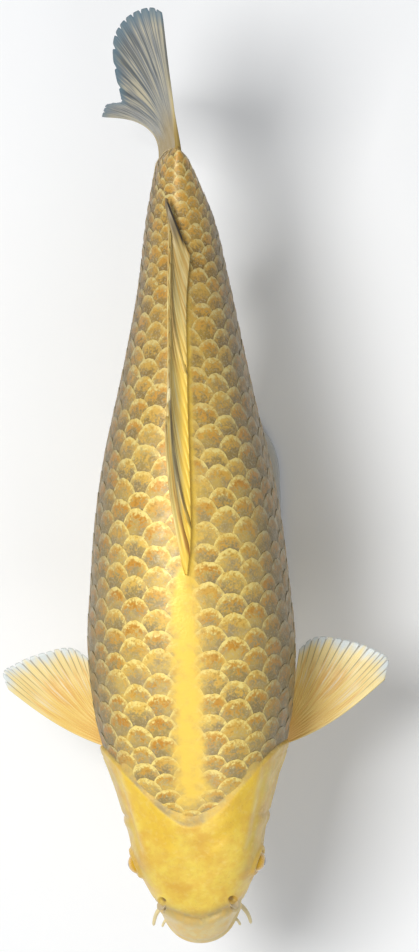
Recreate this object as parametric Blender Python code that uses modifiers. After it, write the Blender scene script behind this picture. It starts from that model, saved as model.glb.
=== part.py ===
"""Koi carp, a still life-size model held up by a plain display stand.

Metres, +Z up. The fish faces -Y, so +X is its own left side. The origin is the middle of
the underside of the stand's base. A point of the fish is first given by its distance
behind the snout and by x and z about the body's straight axis; place() then adds the slow
bend of the tail stalk and moves it to its place over the stand.
"""
import math

import bmesh
import bpy
from mathutils import Vector

# ---- driving sizes ----
SNOUT_TO_STAND = 0.275      # distance of the snout ahead of the middle of the stand
AXIS_HEIGHT = 0.190         # height of the body's axis above the floor
STALK_END = 0.594           # where the tail stalk ends and the tail fin begins
CUT = 0.00035               # gap left between two parts that meet

NOSE_ROUND = 0.030          # length of the snout that is rounded off
NOSE_LEVEL = -0.013         # level of the tip of the snout

# Sections of the body: distance behind the snout, half width, top, bottom, level of the
# widest point, squareness of the upper half and squareness of the lower half.
SECTIONS = (
    (0.000, 0.0290, 0.004, -0.030, -0.014, 2.2, 2.1),
    (0.020, 0.0288, 0.015, -0.037, -0.015, 2.4, 2.1),
    (0.040, 0.0372, 0.028, -0.045, -0.011, 2.7, 2.1),
    (0.062, 0.0470, 0.041, -0.053, -0.006, 2.9, 2.1),
    (0.085, 0.0515, 0.053, -0.061, -0.010, 2.8, 2.1),
    (0.115, 0.0595, 0.066, -0.070, -0.012, 2.6, 2.1),
    (0.148, 0.0693, 0.077, -0.079, -0.009, 2.4, 2.1),
    (0.182, 0.0758, 0.085, -0.086, -0.005, 2.25, 2.1),
    (0.227, 0.0785, 0.092, -0.0915, -0.001, 2.15, 2.1),
    (0.272, 0.0750, 0.094, -0.0925, 0.000, 2.1, 2.1),
    (0.317, 0.0706, 0.092, -0.090, 0.001, 2.1, 2.1),
    (0.362, 0.0632, 0.086, -0.084, 0.001, 2.1, 2.05),
    (0.406, 0.0530, 0.077, -0.074, 0.001, 2.1, 2.0),
    (0.451, 0.0432, 0.066, -0.061, 0.002, 2.1, 2.0),
    (0.496, 0.0345, 0.053, -0.048, 0.002, 2.1, 2.0),
    (0.541, 0.0265, 0.043, -0.0395, 0.001, 2.1, 2.0),
    (0.573, 0.0168, 0.0385, -0.0365, 0.001, 2.2, 2.1),
    (0.595, 0.0078, 0.0375, -0.036, 0.001, 2.4, 2.3),
)
WIDTH, TOP, BOTTOM, WIDEST, UPPER_SQUARE, LOWER_SQUARE = range(1, 7)

# Sideways bend of the backbone and twist of the tail: distance, x, turn about Y in degrees
BACKBONE = (
    (0.000, 0.0000, 0.0),
    (0.380, 0.0000, 0.0),
    (0.440, 0.0012, 0.0),
    (0.490, 0.0017, 1.0),
    (0.541, 0.0000, 5.0),
    (0.573, -0.0033, 10.0),
    (0.595, -0.0066, 14.0),
)
BEND_X, TWIST = 1, 2

# ---- cuts between the parts of the body ----
LIP_LENGTH_ABOVE = 0.0195   # snout to the groove behind the upper lip, on the midline
LIP_SLANT = 0.009           # how much further back that groove is on the side
GILL_EDGE = 0.150           # rear edge of the gill cover, halfway up
NAPE_REACH = 0.062          # how far the nape comes forward of that edge
NAPE_POINT = 5.3            # how pointed the nape's outline is
THROAT_REACH = 0.052        # how far the throat comes forward of it
MID_CUT = 0.318             # between the two lengths of the trunk
STALK_CUT = 0.474           # between the trunk and the tail stalk
MOUTH_FRONT = (0.000, -0.0195)
MOUTH_CORNER = (0.028, -0.0250)
MOUTH_BLOCK = 0.12          # side of the blocks that part the jaws

# ---- gill covers, eyes and barbels ----
GILL_TOP_ANGLE = 47
GILL_BOTTOM_ANGLE = -50
GILL_FRONT = 0.094
GILL_FRONT_ROUND = 0.005
GILL_THICKNESS = 0.006
GILL_RADIUS = 0.06          # about how far the cover lies from the body's axis
GILL_GAP = 0.0005
POCKET_RISE = 0.003         # how far the pocket's cutter stands out of the head
EYE_RADIUS = 0.0090
EYE_CENTRE = (0.0422, 0.0625, 0.0105)
BARBEL_STEPS = 6
# name: root distance, root angle, tip (x, distance, z), root radius, tip radius
BARBELS = {
    "barbel_rear": (0.0262, -19, (0.0370, 0.0100, -0.0345), 0.0020, 0.0012),
    "barbel_front": (0.0170, -7, (0.0295, 0.0105, -0.0225), 0.0013, 0.0009),
}

# ---- fins ----
FIN_THICKNESS = 0.0013
FOLDED_THICKNESS = 0.0040   # the dorsal fin, folded down along the back
FIN_CLEARANCE = 0.0010      # from the body's surface to the middle of a fin's root
FOLDED_CLEARANCE = 0.0023
DORSAL_START = 0.278
DORSAL_END = 0.512
# Fins on the back and belly: place along the base from 0 to 1, ray length, rise off the
# body and lean to the fish's right, both in degrees, and how far the root lies to its left
DORSAL_RAYS = (
    (0.00, 0.110, 8.0, 48.0, 0.0035),
    (0.10, 0.106, 8.5, 55.0, 0.0065),
    (0.30, 0.098, 9.0, 62.0, 0.0070),
    (0.60, 0.087, 10.0, 66.0, 0.0055),
    (0.85, 0.079, 11.0, 67.0, 0.0040),
    (1.00, 0.043, 24.0, 67.0, 0.0060),
)
DORSAL_CURL = 2.2           # how soon a folded ray levels off; 1 is a straight ray
ANAL_START = 0.445
ANAL_END = 0.488
ANAL_RAYS = (
    (0.0, 0.078, -52.0, 0.0, 0.0),
    (0.3, 0.068, -47.0, 0.0, 0.0),
    (1.0, 0.040, -33.0, 0.0, 0.0),
)
ANAL_CURL = 1.0
# The other fins: place along the root, ray length, heading at its root and at its tip, rise
TAIL_RAYS = (
    (-1.00, 0.0950, -8.0, -79.0, -46.0),
    (-0.75, 0.0850, -10.0, -73.0, -39.0),
    (-0.40, 0.0670, -10.0, -67.0, -24.0),
    (-0.05, 0.0550, -9.0, -59.0, -5.0),
    (0.25, 0.0900, -7.0, -40.0, 7.0),
    (0.45, 0.1005, -6.0, -30.0, 14.0),
    (0.65, 0.1070, -5.0, -19.0, 21.0),
    (0.85, 0.1105, -4.0, -9.0, 28.0),
    (1.00, 0.1100, -3.0, -4.0, 34.0),
)
TAIL_FORK = -0.05
TAIL_ROOT_HALF = 0.0350
TAIL_ROOT_LEVEL = 0.0008
TAIL_ROOT_GAP = 0.0012
LOBE_GAP = 0.007            # half the gap between the lobes, as a share of the root's height
PECTORAL_ROOT = ((0.1435, -33.0), (0.1610, -26.5))      # distance and angle on the body
PECTORAL_RAYS = (
    (0.00, 0.0985, 12.0, 40.0, 3.0),
    (0.12, 0.1060, 18.0, 43.0, 3.0),
    (0.35, 0.0980, 28.0, 45.0, 2.0),
    (0.60, 0.0830, 43.0, 57.0, 0.0),
    (0.85, 0.0695, 59.0, 70.0, -2.0),
    (1.00, 0.0555, 69.0, 76.0, -3.0),
)
PELVIC_ROOT = ((0.2830, -71.0), (0.2930, -79.0))
PELVIC_RAYS = (
    (0.00, 0.0780, 58.0, 76.0, -30.0),
    (0.20, 0.0820, 64.0, 76.0, -32.0),
    (0.60, 0.0730, 74.0, 80.0, -33.0),
    (1.00, 0.0520, 84.0, 86.0, -34.0),
)
# Sides of the fish: direction of x, then growth and further sweep of the pectoral fin
SIDES_OF_FISH = {"right": (-1, 0.0, 0.0), "left": (1, 0.03, 4.0)}

# ---- stand ----
BASE_LENGTH = 0.270
BASE_WIDTH = 0.124
BASE_THICKNESS = 0.014
BASE_EDGE = 0.0025
ROD_RADIUS = 0.0055
FLANGE_RADIUS = 0.0105
FLANGE_HEIGHT = 0.004
FLANGE_SLOPE = 0.003
ROD_DISTANCES = {"stand_rod_front": 0.210, "stand_rod_rear": 0.340}
ROD_CLEARANCE = 0.0006

# ---- mesh density ----
SIDES = 36
SEGMENT_RINGS = {"head": 11, "trunk_front": 9, "trunk_rear": 8, "tail_stalk": 8}
SNOUT_RINGS = 7
RAY_STEPS = 12
SLOPE_STEP = 0.001          # over which the slope of a surface is taken, along the body
TURN_STEP = 0.01            # and round it, as an angle

GOLD = (0.62, 0.42, 0.10)
PALE_GOLD = (0.72, 0.52, 0.20)
TAN = (0.62, 0.48, 0.24)
FIN_GOLD = (0.66, 0.52, 0.24)
FIN_GREY = (0.36, 0.35, 0.28)
EYE_GOLD = (0.45, 0.28, 0.05)
STAND_PALE = (0.62, 0.62, 0.60)
STEEL = (0.55, 0.55, 0.55)


# ---- curves and surfaces ----

def slope_at(table, column, i):
    """Slope of a table's column at one row, from the rows beside it."""
    before = table[max(i - 1, 0)]
    after = table[min(i + 1, len(table) - 1)]
    return (after[column] - before[column]) / (after[0] - before[0])


def smooth(table, column, at):
    """A table's column at any place, on a smooth curve through its rows."""
    last = len(table) - 1
    at = min(max(at, table[0][0]), table[last][0])
    i = 0
    while i < last - 1 and at > table[i + 1][0]:
        i += 1
    low, high = table[i], table[i + 1]
    span = high[0] - low[0]
    t = (at - low[0]) / span
    rise = high[column] - low[column]
    start = slope_at(table, column, i) * span
    end = slope_at(table, column, i + 1) * span
    curve = (start - rise) * (1 - t) - (end - rise) * t
    return low[column] + rise * t + t * (1 - t) * curve


def nose_factor(distance):
    """Share of the full section that is left in the rounded snout."""
    t = min(distance / NOSE_ROUND, 1.0)
    return math.sqrt(max(1.0 - (1.0 - t) ** 2, 0.0))


def level(distance, column):
    """Top, bottom or widest level of the body, with the snout rounded off."""
    return NOSE_LEVEL + (smooth(SECTIONS, column, distance) - NOSE_LEVEL) * nose_factor(distance)


def surface(distance, angle):
    """Point of the body's surface; angle 90 degrees is the back and -90 the belly."""
    half_width = smooth(SECTIONS, WIDTH, distance) * nose_factor(distance)
    middle = level(distance, WIDEST)
    if half_width < 1e-6:
        return Vector((0.0, distance, middle))
    upper = math.sin(angle) >= 0.0
    half_height = level(distance, TOP) - middle if upper else middle - level(distance, BOTTOM)
    power = smooth(SECTIONS, UPPER_SQUARE if upper else LOWER_SQUARE, distance)
    across = abs(math.cos(angle)) / half_width
    along = abs(math.sin(angle)) / half_height
    radius = (across ** power + along ** power) ** (-1.0 / power)
    return Vector((radius * math.cos(angle), distance, middle + radius * math.sin(angle)))


def outward(distance, angle):
    """Unit vector standing off the body's surface."""
    along = surface(distance + SLOPE_STEP, angle) - surface(distance - SLOPE_STEP, angle)
    around = surface(distance, angle + TURN_STEP) - surface(distance, angle - TURN_STEP)
    return along.cross(around).normalized()


def place(point):
    """Bend and twist a point of the straight fish, and set it over the stand."""
    turn = math.radians(smooth(BACKBONE, TWIST, point.y))
    x = point.x * math.cos(turn) + point.z * math.sin(turn)
    z = point.z * math.cos(turn) - point.x * math.sin(turn)
    x += smooth(BACKBONE, BEND_X, point.y)
    return Vector((x, point.y - SNOUT_TO_STAND, z + AXIS_HEIGHT))


# ---- boundaries, as distances behind the snout at an angle round the body ----

def lip_edge(angle):
    return LIP_LENGTH_ABOVE + LIP_SLANT * (1.0 - math.sin(angle))


def gill_edge(angle):
    height = math.sin(angle)
    if height > 0.0:
        return GILL_EDGE - NAPE_REACH * height ** NAPE_POINT
    return GILL_EDGE - THROAT_REACH * height ** 2


def across_at(distance):
    return lambda angle: distance


# ---- making objects ----

def make_material(name, color, roughness, metallic):
    material = bpy.data.materials.new(name)
    material.use_nodes = True
    shader = material.node_tree.nodes["Principled BSDF"]
    shader.inputs["Base Color"].default_value = (*color, 1.0)
    shader.inputs["Roughness"].default_value = roughness
    shader.inputs["Metallic"].default_value = metallic
    return material


def add_object(name, data, collection, look=None):
    item = bpy.data.objects.new(name, data)
    collection.objects.link(item)
    if look:
        data.materials.append(make_material(name, *look))
    return item


def mesh_from(name, points, faces):
    """A mesh with its faces turned outward where it is closed."""
    mesh = bpy.data.meshes.new(name)
    mesh.from_pydata(points, [], faces)
    work = bmesh.new()
    work.from_mesh(mesh)
    if all(edge.is_manifold for edge in work.edges):
        bmesh.ops.recalc_face_normals(work, faces=work.faces[:])
    work.to_mesh(mesh)
    work.free()
    mesh.shade_smooth()
    return mesh


def grid_mesh(name, point_at, columns, rows, flip=False):
    """An open sheet of columns by rows faces; point_at gives each point from two shares."""
    points = []
    for i in range(columns + 1):
        for j in range(rows + 1):
            points.append(point_at(i / columns, j / rows))
    faces = []
    for i in range(columns):
        for j in range(rows):
            corner = i * (rows + 1) + j
            face = (corner, corner + rows + 1, corner + rows + 2, corner + 1)
            faces.append(face[::-1] if flip else face)
    return mesh_from(name, points, faces)


def thicken(item, thickness, offset):
    solid = item.modifiers.new("thickness", "SOLIDIFY")
    solid.thickness = thickness
    solid.offset = offset


def make_cutter(item):
    item.display_type = "WIRE"
    item.hide_render = True


def cut_with(item, cutter):
    cut = item.modifiers.new("cut_" + cutter.name, "BOOLEAN")
    cut.operation = "DIFFERENCE"
    cut.solver = "EXACT"
    cut.object = cutter


# ---- the body ----

def ring_points(boundary):
    angles = [math.tau * i / SIDES for i in range(SIDES)]
    return [surface(boundary(angle), angle) for angle in angles]


def close_ring(points, faces, first):
    """Close a ring of points by a fan whose hub is as far back as the ring's rearmost point."""
    ring = points[first:first + SIDES]
    hub = sum(ring, Vector()) / SIDES
    hub.y = max(point.y for point in ring)
    points.append(hub)
    for i in range(SIDES):
        faces.append((first + i, len(points) - 1, first + (i + 1) % SIDES))


def segment_mesh(name, front, rear, rings):
    """A length of the body between two boundaries, closed by a fan at each end."""
    points = []
    for k in range(rings + 1):
        share = k / rings

        def between(angle, share=share):
            return front(angle) * (1.0 - share) + rear(angle) * share

        points += ring_points(between)
    faces = []
    for k in range(rings):
        for i in range(SIDES):
            j = (i + 1) % SIDES
            low, high = k * SIDES, (k + 1) * SIDES
            faces.append((low + i, low + j, high + j, high + i))
    for first in (0, rings * SIDES):
        close_ring(points, faces, first)
    return mesh_from(name, [place(point) for point in points], faces)


def shifted(boundary, step):
    return lambda angle: boundary(angle) + step


def snout_mesh(name):
    """The rounded front of the head, before the mouth splits it into two jaws."""
    points = [Vector((0.0, 0.0, NOSE_LEVEL))]
    for k in range(1, SNOUT_RINGS + 1):
        share = (k / SNOUT_RINGS) ** 2
        points += ring_points(lambda angle, share=share: share * (lip_edge(angle) - CUT))
    faces = []
    for i in range(SIDES):
        faces.append((0, 1 + i, 1 + (i + 1) % SIDES))
    for k in range(SNOUT_RINGS - 1):
        for i in range(SIDES):
            j = (i + 1) % SIDES
            low, high = 1 + k * SIDES, 1 + (k + 1) * SIDES
            faces.append((low + i, low + j, high + j, high + i))
    close_ring(points, faces, 1 + (SNOUT_RINGS - 1) * SIDES)
    return mesh_from(name, [place(point) for point in points], faces)


def mouth_box(name, side, collection):
    """A block under (side -1) or over (side 1) the mouth's line, reaching just past it."""
    front = Vector((0.0, MOUTH_FRONT[0], MOUTH_FRONT[1]))
    corner = Vector((0.0, MOUTH_CORNER[0], MOUTH_CORNER[1]))
    slope = math.atan2(corner.z - front.z, corner.y - front.y)
    work = bmesh.new()
    bmesh.ops.create_cube(work, size=MOUTH_BLOCK)
    mesh = bpy.data.meshes.new(name)
    work.to_mesh(mesh)
    work.free()
    item = add_object(name, mesh, collection)
    normal = Vector((0.0, -math.sin(slope), math.cos(slope)))
    item.location = place(front) + normal * side * (MOUTH_BLOCK / 2 - CUT / 2)
    item.rotation_euler = (slope, 0.0, 0.0)
    make_cutter(item)
    return item


def make_jaws(parts, cutters):
    for name, side in (("upper_jaw", -1), ("lower_jaw", 1)):
        jaw = add_object(name, snout_mesh(name), parts, (TAN, 0.45, 0.2))
        cut_with(jaw, mouth_box("mouth_" + name, side, cutters))


def gill_sheet(name, side, margin, lift):
    """The outer face of a gill cover; margin widens it and lift raises it, for its pocket."""
    top = math.radians(GILL_TOP_ANGLE)
    bottom = math.radians(GILL_BOTTOM_ANGLE)
    spread = margin / GILL_RADIUS

    def point_at(u, v):
        angle = bottom - spread + (top - bottom + 2 * spread) * v
        edge = abs(2.0 * v - 1.0) ** 4
        front = GILL_FRONT + GILL_FRONT_ROUND * edge - margin
        rear = gill_edge(angle) - CUT + margin
        distance = front + (rear - front) * u
        point = surface(distance, angle) + outward(distance, angle) * lift
        return place(Vector((point.x * side, point.y, point.z)))

    return grid_mesh(name, point_at, 7, 10, flip=side < 0)


def make_gill_covers(head, shoulder, parts, cutters):
    """Plates let into the sides of the head, whose rear edges lie over the shoulder."""
    for word, side in (("right", -1), ("left", 1)):
        name = "gill_cover_" + word
        cover = add_object(name, gill_sheet(name, side, 0.0, 0.0), parts, (GOLD, 0.4, 0.3))
        thicken(cover, GILL_THICKNESS, -1.0)
        name = "pocket_" + word
        pocket = add_object(name, gill_sheet(name, side, GILL_GAP, POCKET_RISE), cutters)
        thicken(pocket, GILL_THICKNESS + POCKET_RISE + CUT, -1.0)
        make_cutter(pocket)
        cut_with(head, pocket)
        cut_with(shoulder, pocket)


def make_ball(name, radius, centre, collection, look=None):
    work = bmesh.new()
    bmesh.ops.create_uvsphere(work, u_segments=14, v_segments=9, radius=radius)
    mesh = bpy.data.meshes.new(name)
    work.to_mesh(mesh)
    work.free()
    mesh.shade_smooth()
    ball = add_object(name, mesh, collection, look)
    ball.location = place(centre)
    ball.rotation_euler = (0.0, math.pi / 2, 0.0)
    return ball


def make_eyes(head, parts, cutters):
    for word, side in (("right", -1), ("left", 1)):
        centre = Vector((side * EYE_CENTRE[0], EYE_CENTRE[1], EYE_CENTRE[2]))
        make_ball("eye_" + word, EYE_RADIUS, centre, parts, (EYE_GOLD, 0.15, 0.4))
        socket = make_ball("socket_" + word, EYE_RADIUS + CUT, centre, cutters)
        make_cutter(socket)
        cut_with(head, socket)


def make_barbels(parts):
    """Feelers that leave the lip straight out of its surface, then turn down and forward."""
    for kind, (distance, angle, tip, root_radius, tip_radius) in BARBELS.items():
        for word, side in (("right", -1), ("left", 1)):
            turn = math.radians(angle)
            normal = outward(distance, turn)
            root = surface(distance, turn) + normal * 2 * CUT
            end = Vector(tip)
            bend = root + normal * (end - root).length * 0.45
            curve = bpy.data.curves.new(kind + "_" + word, "CURVE")
            curve.dimensions = "3D"
            curve.bevel_depth = root_radius
            curve.bevel_resolution = 2
            curve.use_fill_caps = True
            spline = curve.splines.new("POLY")
            spline.points.add(BARBEL_STEPS)
            for i, knot in enumerate(spline.points):
                t = i / BARBEL_STEPS
                point = root * (1 - t) ** 2 + bend * 2 * t * (1 - t) + end * t * t
                point.x *= side
                knot.co = (*place(point), 1.0)
                knot.radius = 1.0 + (tip_radius / root_radius - 1.0) * t
            add_object(kind + "_" + word, curve, parts, (TAN, 0.4, 0.0))


def make_body(parts, cutters):
    spans = {
        "head": (lip_edge, shifted(gill_edge, -CUT)),
        "trunk_front": (gill_edge, across_at(MID_CUT - CUT)),
        "trunk_rear": (across_at(MID_CUT), across_at(STALK_CUT - CUT)),
        "tail_stalk": (across_at(STALK_CUT), across_at(STALK_END)),
    }
    made = {}
    for name, (front, rear) in spans.items():
        mesh = segment_mesh(name, front, rear, SEGMENT_RINGS[name])
        made[name] = add_object(name, mesh, parts, (GOLD, 0.4, 0.3))
    make_gill_covers(made["head"], made["trunk_front"], parts, cutters)
    make_eyes(made["head"], parts, cutters)
    make_jaws(parts, cutters)
    make_barbels(parts)


# ---- fins ----

def ridge(distance, column):
    """Point just off the back (TOP) or the belly (BOTTOM), where a fin's root lies."""
    gap = FOLDED_CLEARANCE if column == TOP else -FIN_CLEARANCE
    return Vector((0.0, distance, level(distance, column) + gap))


def median_fin_sheet(name, start, end, rays, curl, column, columns, rows):
    """A fin on the back or belly: rays that sweep back from a base along the midline."""
    def point_at(u, v):
        distance = start + (end - start) * u
        root = ridge(distance, column) + Vector((smooth(rays, 4, u), 0.0, 0.0))
        ahead = ridge(distance - SLOPE_STEP, column)
        tangent = (ridge(distance + SLOPE_STEP, column) - ahead).normalized()
        rise = math.radians(smooth(rays, 2, u))
        lean = math.radians(smooth(rays, 3, u))
        side = Vector((-math.sin(lean), -tangent.z * math.cos(lean), tangent.y * math.cos(lean)))
        off = math.sin(rise) * (1.0 - (1.0 - v) ** curl)
        return place(root + (tangent * math.cos(rise) * v + side * off) * smooth(rays, 1, u))

    return grid_mesh(name, point_at, columns, rows)


def make_median_fins(parts):
    sheet = median_fin_sheet("dorsal_fin", DORSAL_START, DORSAL_END, DORSAL_RAYS, DORSAL_CURL,
                             TOP, 18, 6)
    dorsal = add_object("dorsal_fin", sheet, parts, (PALE_GOLD, 0.5, 0.1))
    thicken(dorsal, FOLDED_THICKNESS, 0.0)
    sheet = median_fin_sheet("anal_fin", ANAL_START, ANAL_END, ANAL_RAYS, ANAL_CURL,
                             BOTTOM, 8, 6)
    anal = add_object("anal_fin", sheet, parts, (FIN_GOLD, 0.5, 0.0))
    thicken(anal, FIN_THICKNESS, 0.0)


def along_ray(root, length, start, end, rise, share):
    """Point at a share of a curved ray that turns most near its root; 0 is +Y, 90 is +X."""
    point = root.copy()
    step = length * share / RAY_STEPS
    for k in range(RAY_STEPS):
        turned = math.sin(math.pi / 2 * share * (k + 0.5) / RAY_STEPS)
        heading = math.radians(start + (end - start) * turned)
        flat = math.cos(math.radians(rise))
        point += Vector((flat * math.sin(heading), flat * math.cos(heading),
                         math.sin(math.radians(rise)))) * step
    return point


def tail_point(height, share):
    """Point of the tail fin: height picks the ray, share is the way along it."""
    level_of_root = TAIL_ROOT_LEVEL + TAIL_ROOT_HALF * height
    root = place(Vector((0.0, STALK_END + TAIL_ROOT_GAP, level_of_root)))
    length, start, end, rise = (smooth(TAIL_RAYS, column, height) for column in (1, 2, 3, 4))
    return along_ray(root, length, start, end, rise, share)


def make_tail_fin(parts):
    lobes = {
        "tail_fin_upper": (TAIL_FORK + LOBE_GAP, 1.0, 12, 8),
        "tail_fin_lower": (-1.0, TAIL_FORK - LOBE_GAP, 9, 8),
    }
    for name, (low, high, columns, rows) in lobes.items():
        sheet = grid_mesh(name, lambda u, v: tail_point(low + (high - low) * u, v),
                          columns, rows)
        lobe = add_object(name, sheet, parts, (FIN_GREY, 0.5, 0.0))
        thicken(lobe, FIN_THICKNESS, 0.0)


def paired_fin_sheet(name, root, rays, side, growth, sweep, columns, rows):
    """A fin of one side: rays fan out from a short root on the body."""
    (front, front_angle), (rear, rear_angle) = root

    def point_at(u, v):
        distance = front + (rear - front) * u
        angle = math.radians(front_angle + (rear_angle - front_angle) * u)
        base = surface(distance, angle) + outward(distance, angle) * FIN_CLEARANCE
        length, start, end, rise = (smooth(rays, column, u) for column in (1, 2, 3, 4))
        length *= 1.0 + growth * math.sqrt(u)
        start += sweep * math.sqrt(u)
        end += sweep * math.sqrt(u)
        point = along_ray(base, length, 90.0 - start, 90.0 - end, rise, v)
        return place(Vector((point.x * side, point.y, point.z)))

    return grid_mesh(name, point_at, columns, rows)


def make_paired_fins(parts):
    for word, (side, growth, sweep) in SIDES_OF_FISH.items():
        name = "pectoral_fin_" + word
        sheet = paired_fin_sheet(name, PECTORAL_ROOT, PECTORAL_RAYS, side, growth, sweep, 13, 6)
        fin = add_object(name, sheet, parts, (FIN_GOLD, 0.5, 0.1))
        thicken(fin, FIN_THICKNESS, 0.0)
        name = "pelvic_fin_" + word
        sheet = paired_fin_sheet(name, PELVIC_ROOT, PELVIC_RAYS, side, 0.0, 0.0, 8, 4)
        fin = add_object(name, sheet, parts, (FIN_GOLD, 0.5, 0.0))
        thicken(fin, FIN_THICKNESS, 0.0)


# ---- stand ----

def make_stand_base(parts):
    """A flat slab with half-round ends and eased edges."""
    work = bmesh.new()
    bmesh.ops.create_cube(work, size=1.0)
    bmesh.ops.scale(work, vec=(BASE_WIDTH, BASE_LENGTH, BASE_THICKNESS), verts=work.verts)
    upright = [edge for edge in work.edges
               if abs(edge.verts[0].co.z - edge.verts[1].co.z) > BASE_THICKNESS / 2]
    bmesh.ops.bevel(work, geom=upright, offset=BASE_WIDTH / 2 - BASE_EDGE, segments=9,
                    profile=0.5, affect="EDGES")
    mesh = bpy.data.meshes.new("stand_base")
    work.to_mesh(mesh)
    work.free()
    base = add_object("stand_base", mesh, parts, (STAND_PALE, 0.45, 0.0))
    base.location = (0.0, 0.0, BASE_THICKNESS / 2)
    ease = base.modifiers.new("eased_edges", "BEVEL")
    ease.width = BASE_EDGE
    ease.segments = 2
    ease.limit_method = "ANGLE"
    ease.angle_limit = math.radians(50)


def make_rods(parts):
    """Turned rods with a small foot flange, from the base up to the belly."""
    for name, distance in ROD_DISTANCES.items():
        foot = BASE_THICKNESS + CUT
        reach = ROD_RADIUS
        belly = min(place(Vector((0.0, distance + step, level(distance + step, BOTTOM)))).z
                    for step in (-reach, 0.0, reach))
        top = belly - ROD_CLEARANCE - foot
        profile = (
            (0.0, top),
            (ROD_RADIUS, top),
            (ROD_RADIUS, FLANGE_HEIGHT + FLANGE_SLOPE),
            (FLANGE_RADIUS, FLANGE_HEIGHT),
            (FLANGE_RADIUS, 0.0),
            (0.0, 0.0),
        )
        points = [(radius, 0.0, height) for radius, height in profile]
        edges = [(i, i + 1) for i in range(len(points) - 1)]
        mesh = bpy.data.meshes.new(name)
        mesh.from_pydata(points, edges, [])
        rod = add_object(name, mesh, parts, (STEEL, 0.3, 1.0))
        rod.location = (0.0, distance - SNOUT_TO_STAND, foot)
        turn = rod.modifiers.new("turned", "SCREW")
        turn.axis = "Z"
        turn.angle = math.tau
        turn.steps = 20
        turn.render_steps = 20
        turn.use_merge_vertices = True
        turn.merge_threshold = 0.0001


def main():
    for item in list(bpy.data.objects):
        bpy.data.objects.remove(item, do_unlink=True)
    parts = bpy.data.collections.new("koi_carp")
    cutters = bpy.data.collections.new("koi_carp_cutters")
    bpy.context.scene.collection.children.link(parts)
    bpy.context.scene.collection.children.link(cutters)
    make_body(parts, cutters)
    make_median_fins(parts)
    make_tail_fin(parts)
    make_paired_fins(parts)
    make_stand_base(parts)
    make_rods(parts)


main()
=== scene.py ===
"""Looks of the koi carp model: skin, scales, fins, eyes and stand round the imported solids.

Metres, +Z up. The fish faces -Y, so +X is its own left side. As in the part, a point of the
fish is first given by its distance behind the snout and by x and z about the straight axis;
place() then bends the tail stalk and sets the fish over its stand. An angle round the body is
0 on the fish's left, 90 degrees at the back and -90 at the belly. A share is the same thing
measured along the skin: 0 at the side line, 1 at the back and -1 at the belly.
"""
import math

import bmesh
import bpy
import numpy as np
from mathutils import Matrix, Vector


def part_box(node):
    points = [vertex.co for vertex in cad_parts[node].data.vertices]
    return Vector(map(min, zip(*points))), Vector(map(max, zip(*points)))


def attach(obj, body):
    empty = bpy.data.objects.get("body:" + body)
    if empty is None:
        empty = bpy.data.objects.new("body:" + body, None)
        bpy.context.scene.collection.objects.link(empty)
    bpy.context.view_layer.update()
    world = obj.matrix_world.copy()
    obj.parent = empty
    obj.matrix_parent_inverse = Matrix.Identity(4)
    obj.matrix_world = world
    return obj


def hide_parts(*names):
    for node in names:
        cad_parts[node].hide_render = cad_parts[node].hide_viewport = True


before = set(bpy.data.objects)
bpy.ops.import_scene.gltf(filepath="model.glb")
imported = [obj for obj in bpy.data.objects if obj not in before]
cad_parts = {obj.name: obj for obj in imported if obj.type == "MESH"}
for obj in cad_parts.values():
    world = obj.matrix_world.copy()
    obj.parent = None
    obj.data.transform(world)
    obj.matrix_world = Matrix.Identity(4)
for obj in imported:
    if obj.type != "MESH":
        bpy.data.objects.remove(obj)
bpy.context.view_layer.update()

# ---- the fish's form, as in the part ----
SNOUT_TO_STAND = 0.275      # from the snout back to the middle of the stand
AXIS_HEIGHT = 0.190
STALK_END = 0.594
NOSE_ROUND = 0.030          # length over which the snout rounds off
NOSE_LEVEL = -0.013

# distance behind the snout, half width, top, bottom, widest level, squareness above and below
SECTIONS = np.array((
    (0.000, 0.0290, 0.004, -0.030, -0.014, 2.2, 2.1),
    (0.020, 0.0288, 0.015, -0.037, -0.015, 2.4, 2.1),
    (0.040, 0.0372, 0.028, -0.045, -0.011, 2.7, 2.1),
    (0.062, 0.0470, 0.041, -0.053, -0.006, 2.9, 2.1),
    (0.085, 0.0515, 0.053, -0.061, -0.010, 2.8, 2.1),
    (0.115, 0.0595, 0.066, -0.070, -0.012, 2.6, 2.1),
    (0.148, 0.0693, 0.077, -0.079, -0.009, 2.4, 2.1),
    (0.182, 0.0758, 0.085, -0.086, -0.005, 2.25, 2.1),
    (0.227, 0.0785, 0.092, -0.0915, -0.001, 2.15, 2.1),
    (0.272, 0.0750, 0.094, -0.0925, 0.000, 2.1, 2.1),
    (0.317, 0.0706, 0.092, -0.090, 0.001, 2.1, 2.1),
    (0.362, 0.0632, 0.086, -0.084, 0.001, 2.1, 2.05),
    (0.406, 0.0530, 0.077, -0.074, 0.001, 2.1, 2.0),
    (0.451, 0.0432, 0.066, -0.061, 0.002, 2.1, 2.0),
    (0.496, 0.0345, 0.053, -0.048, 0.002, 2.1, 2.0),
    (0.541, 0.0265, 0.043, -0.0395, 0.001, 2.1, 2.0),
    (0.573, 0.0168, 0.0385, -0.0365, 0.001, 2.2, 2.1),
    (0.595, 0.0078, 0.0375, -0.036, 0.001, 2.4, 2.3),
))
WIDTH, TOP, BOTTOM, WIDEST, UPPER_SQUARE, LOWER_SQUARE = range(1, 7)

# distance, x, turn about Y in degrees; the last row carries the skin on over the fin's root
BACKBONE = np.array((
    (0.000, 0.0000, 0.0),
    (0.380, 0.0000, 0.0),
    (0.440, 0.0012, 0.0),
    (0.490, 0.0017, 1.0),
    (0.541, 0.0000, 5.0),
    (0.573, -0.0033, 10.0),
    (0.595, -0.0066, 14.0),
    (0.612, -0.0095, 16.0),
))
BEND_X, TWIST = 1, 2

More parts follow.
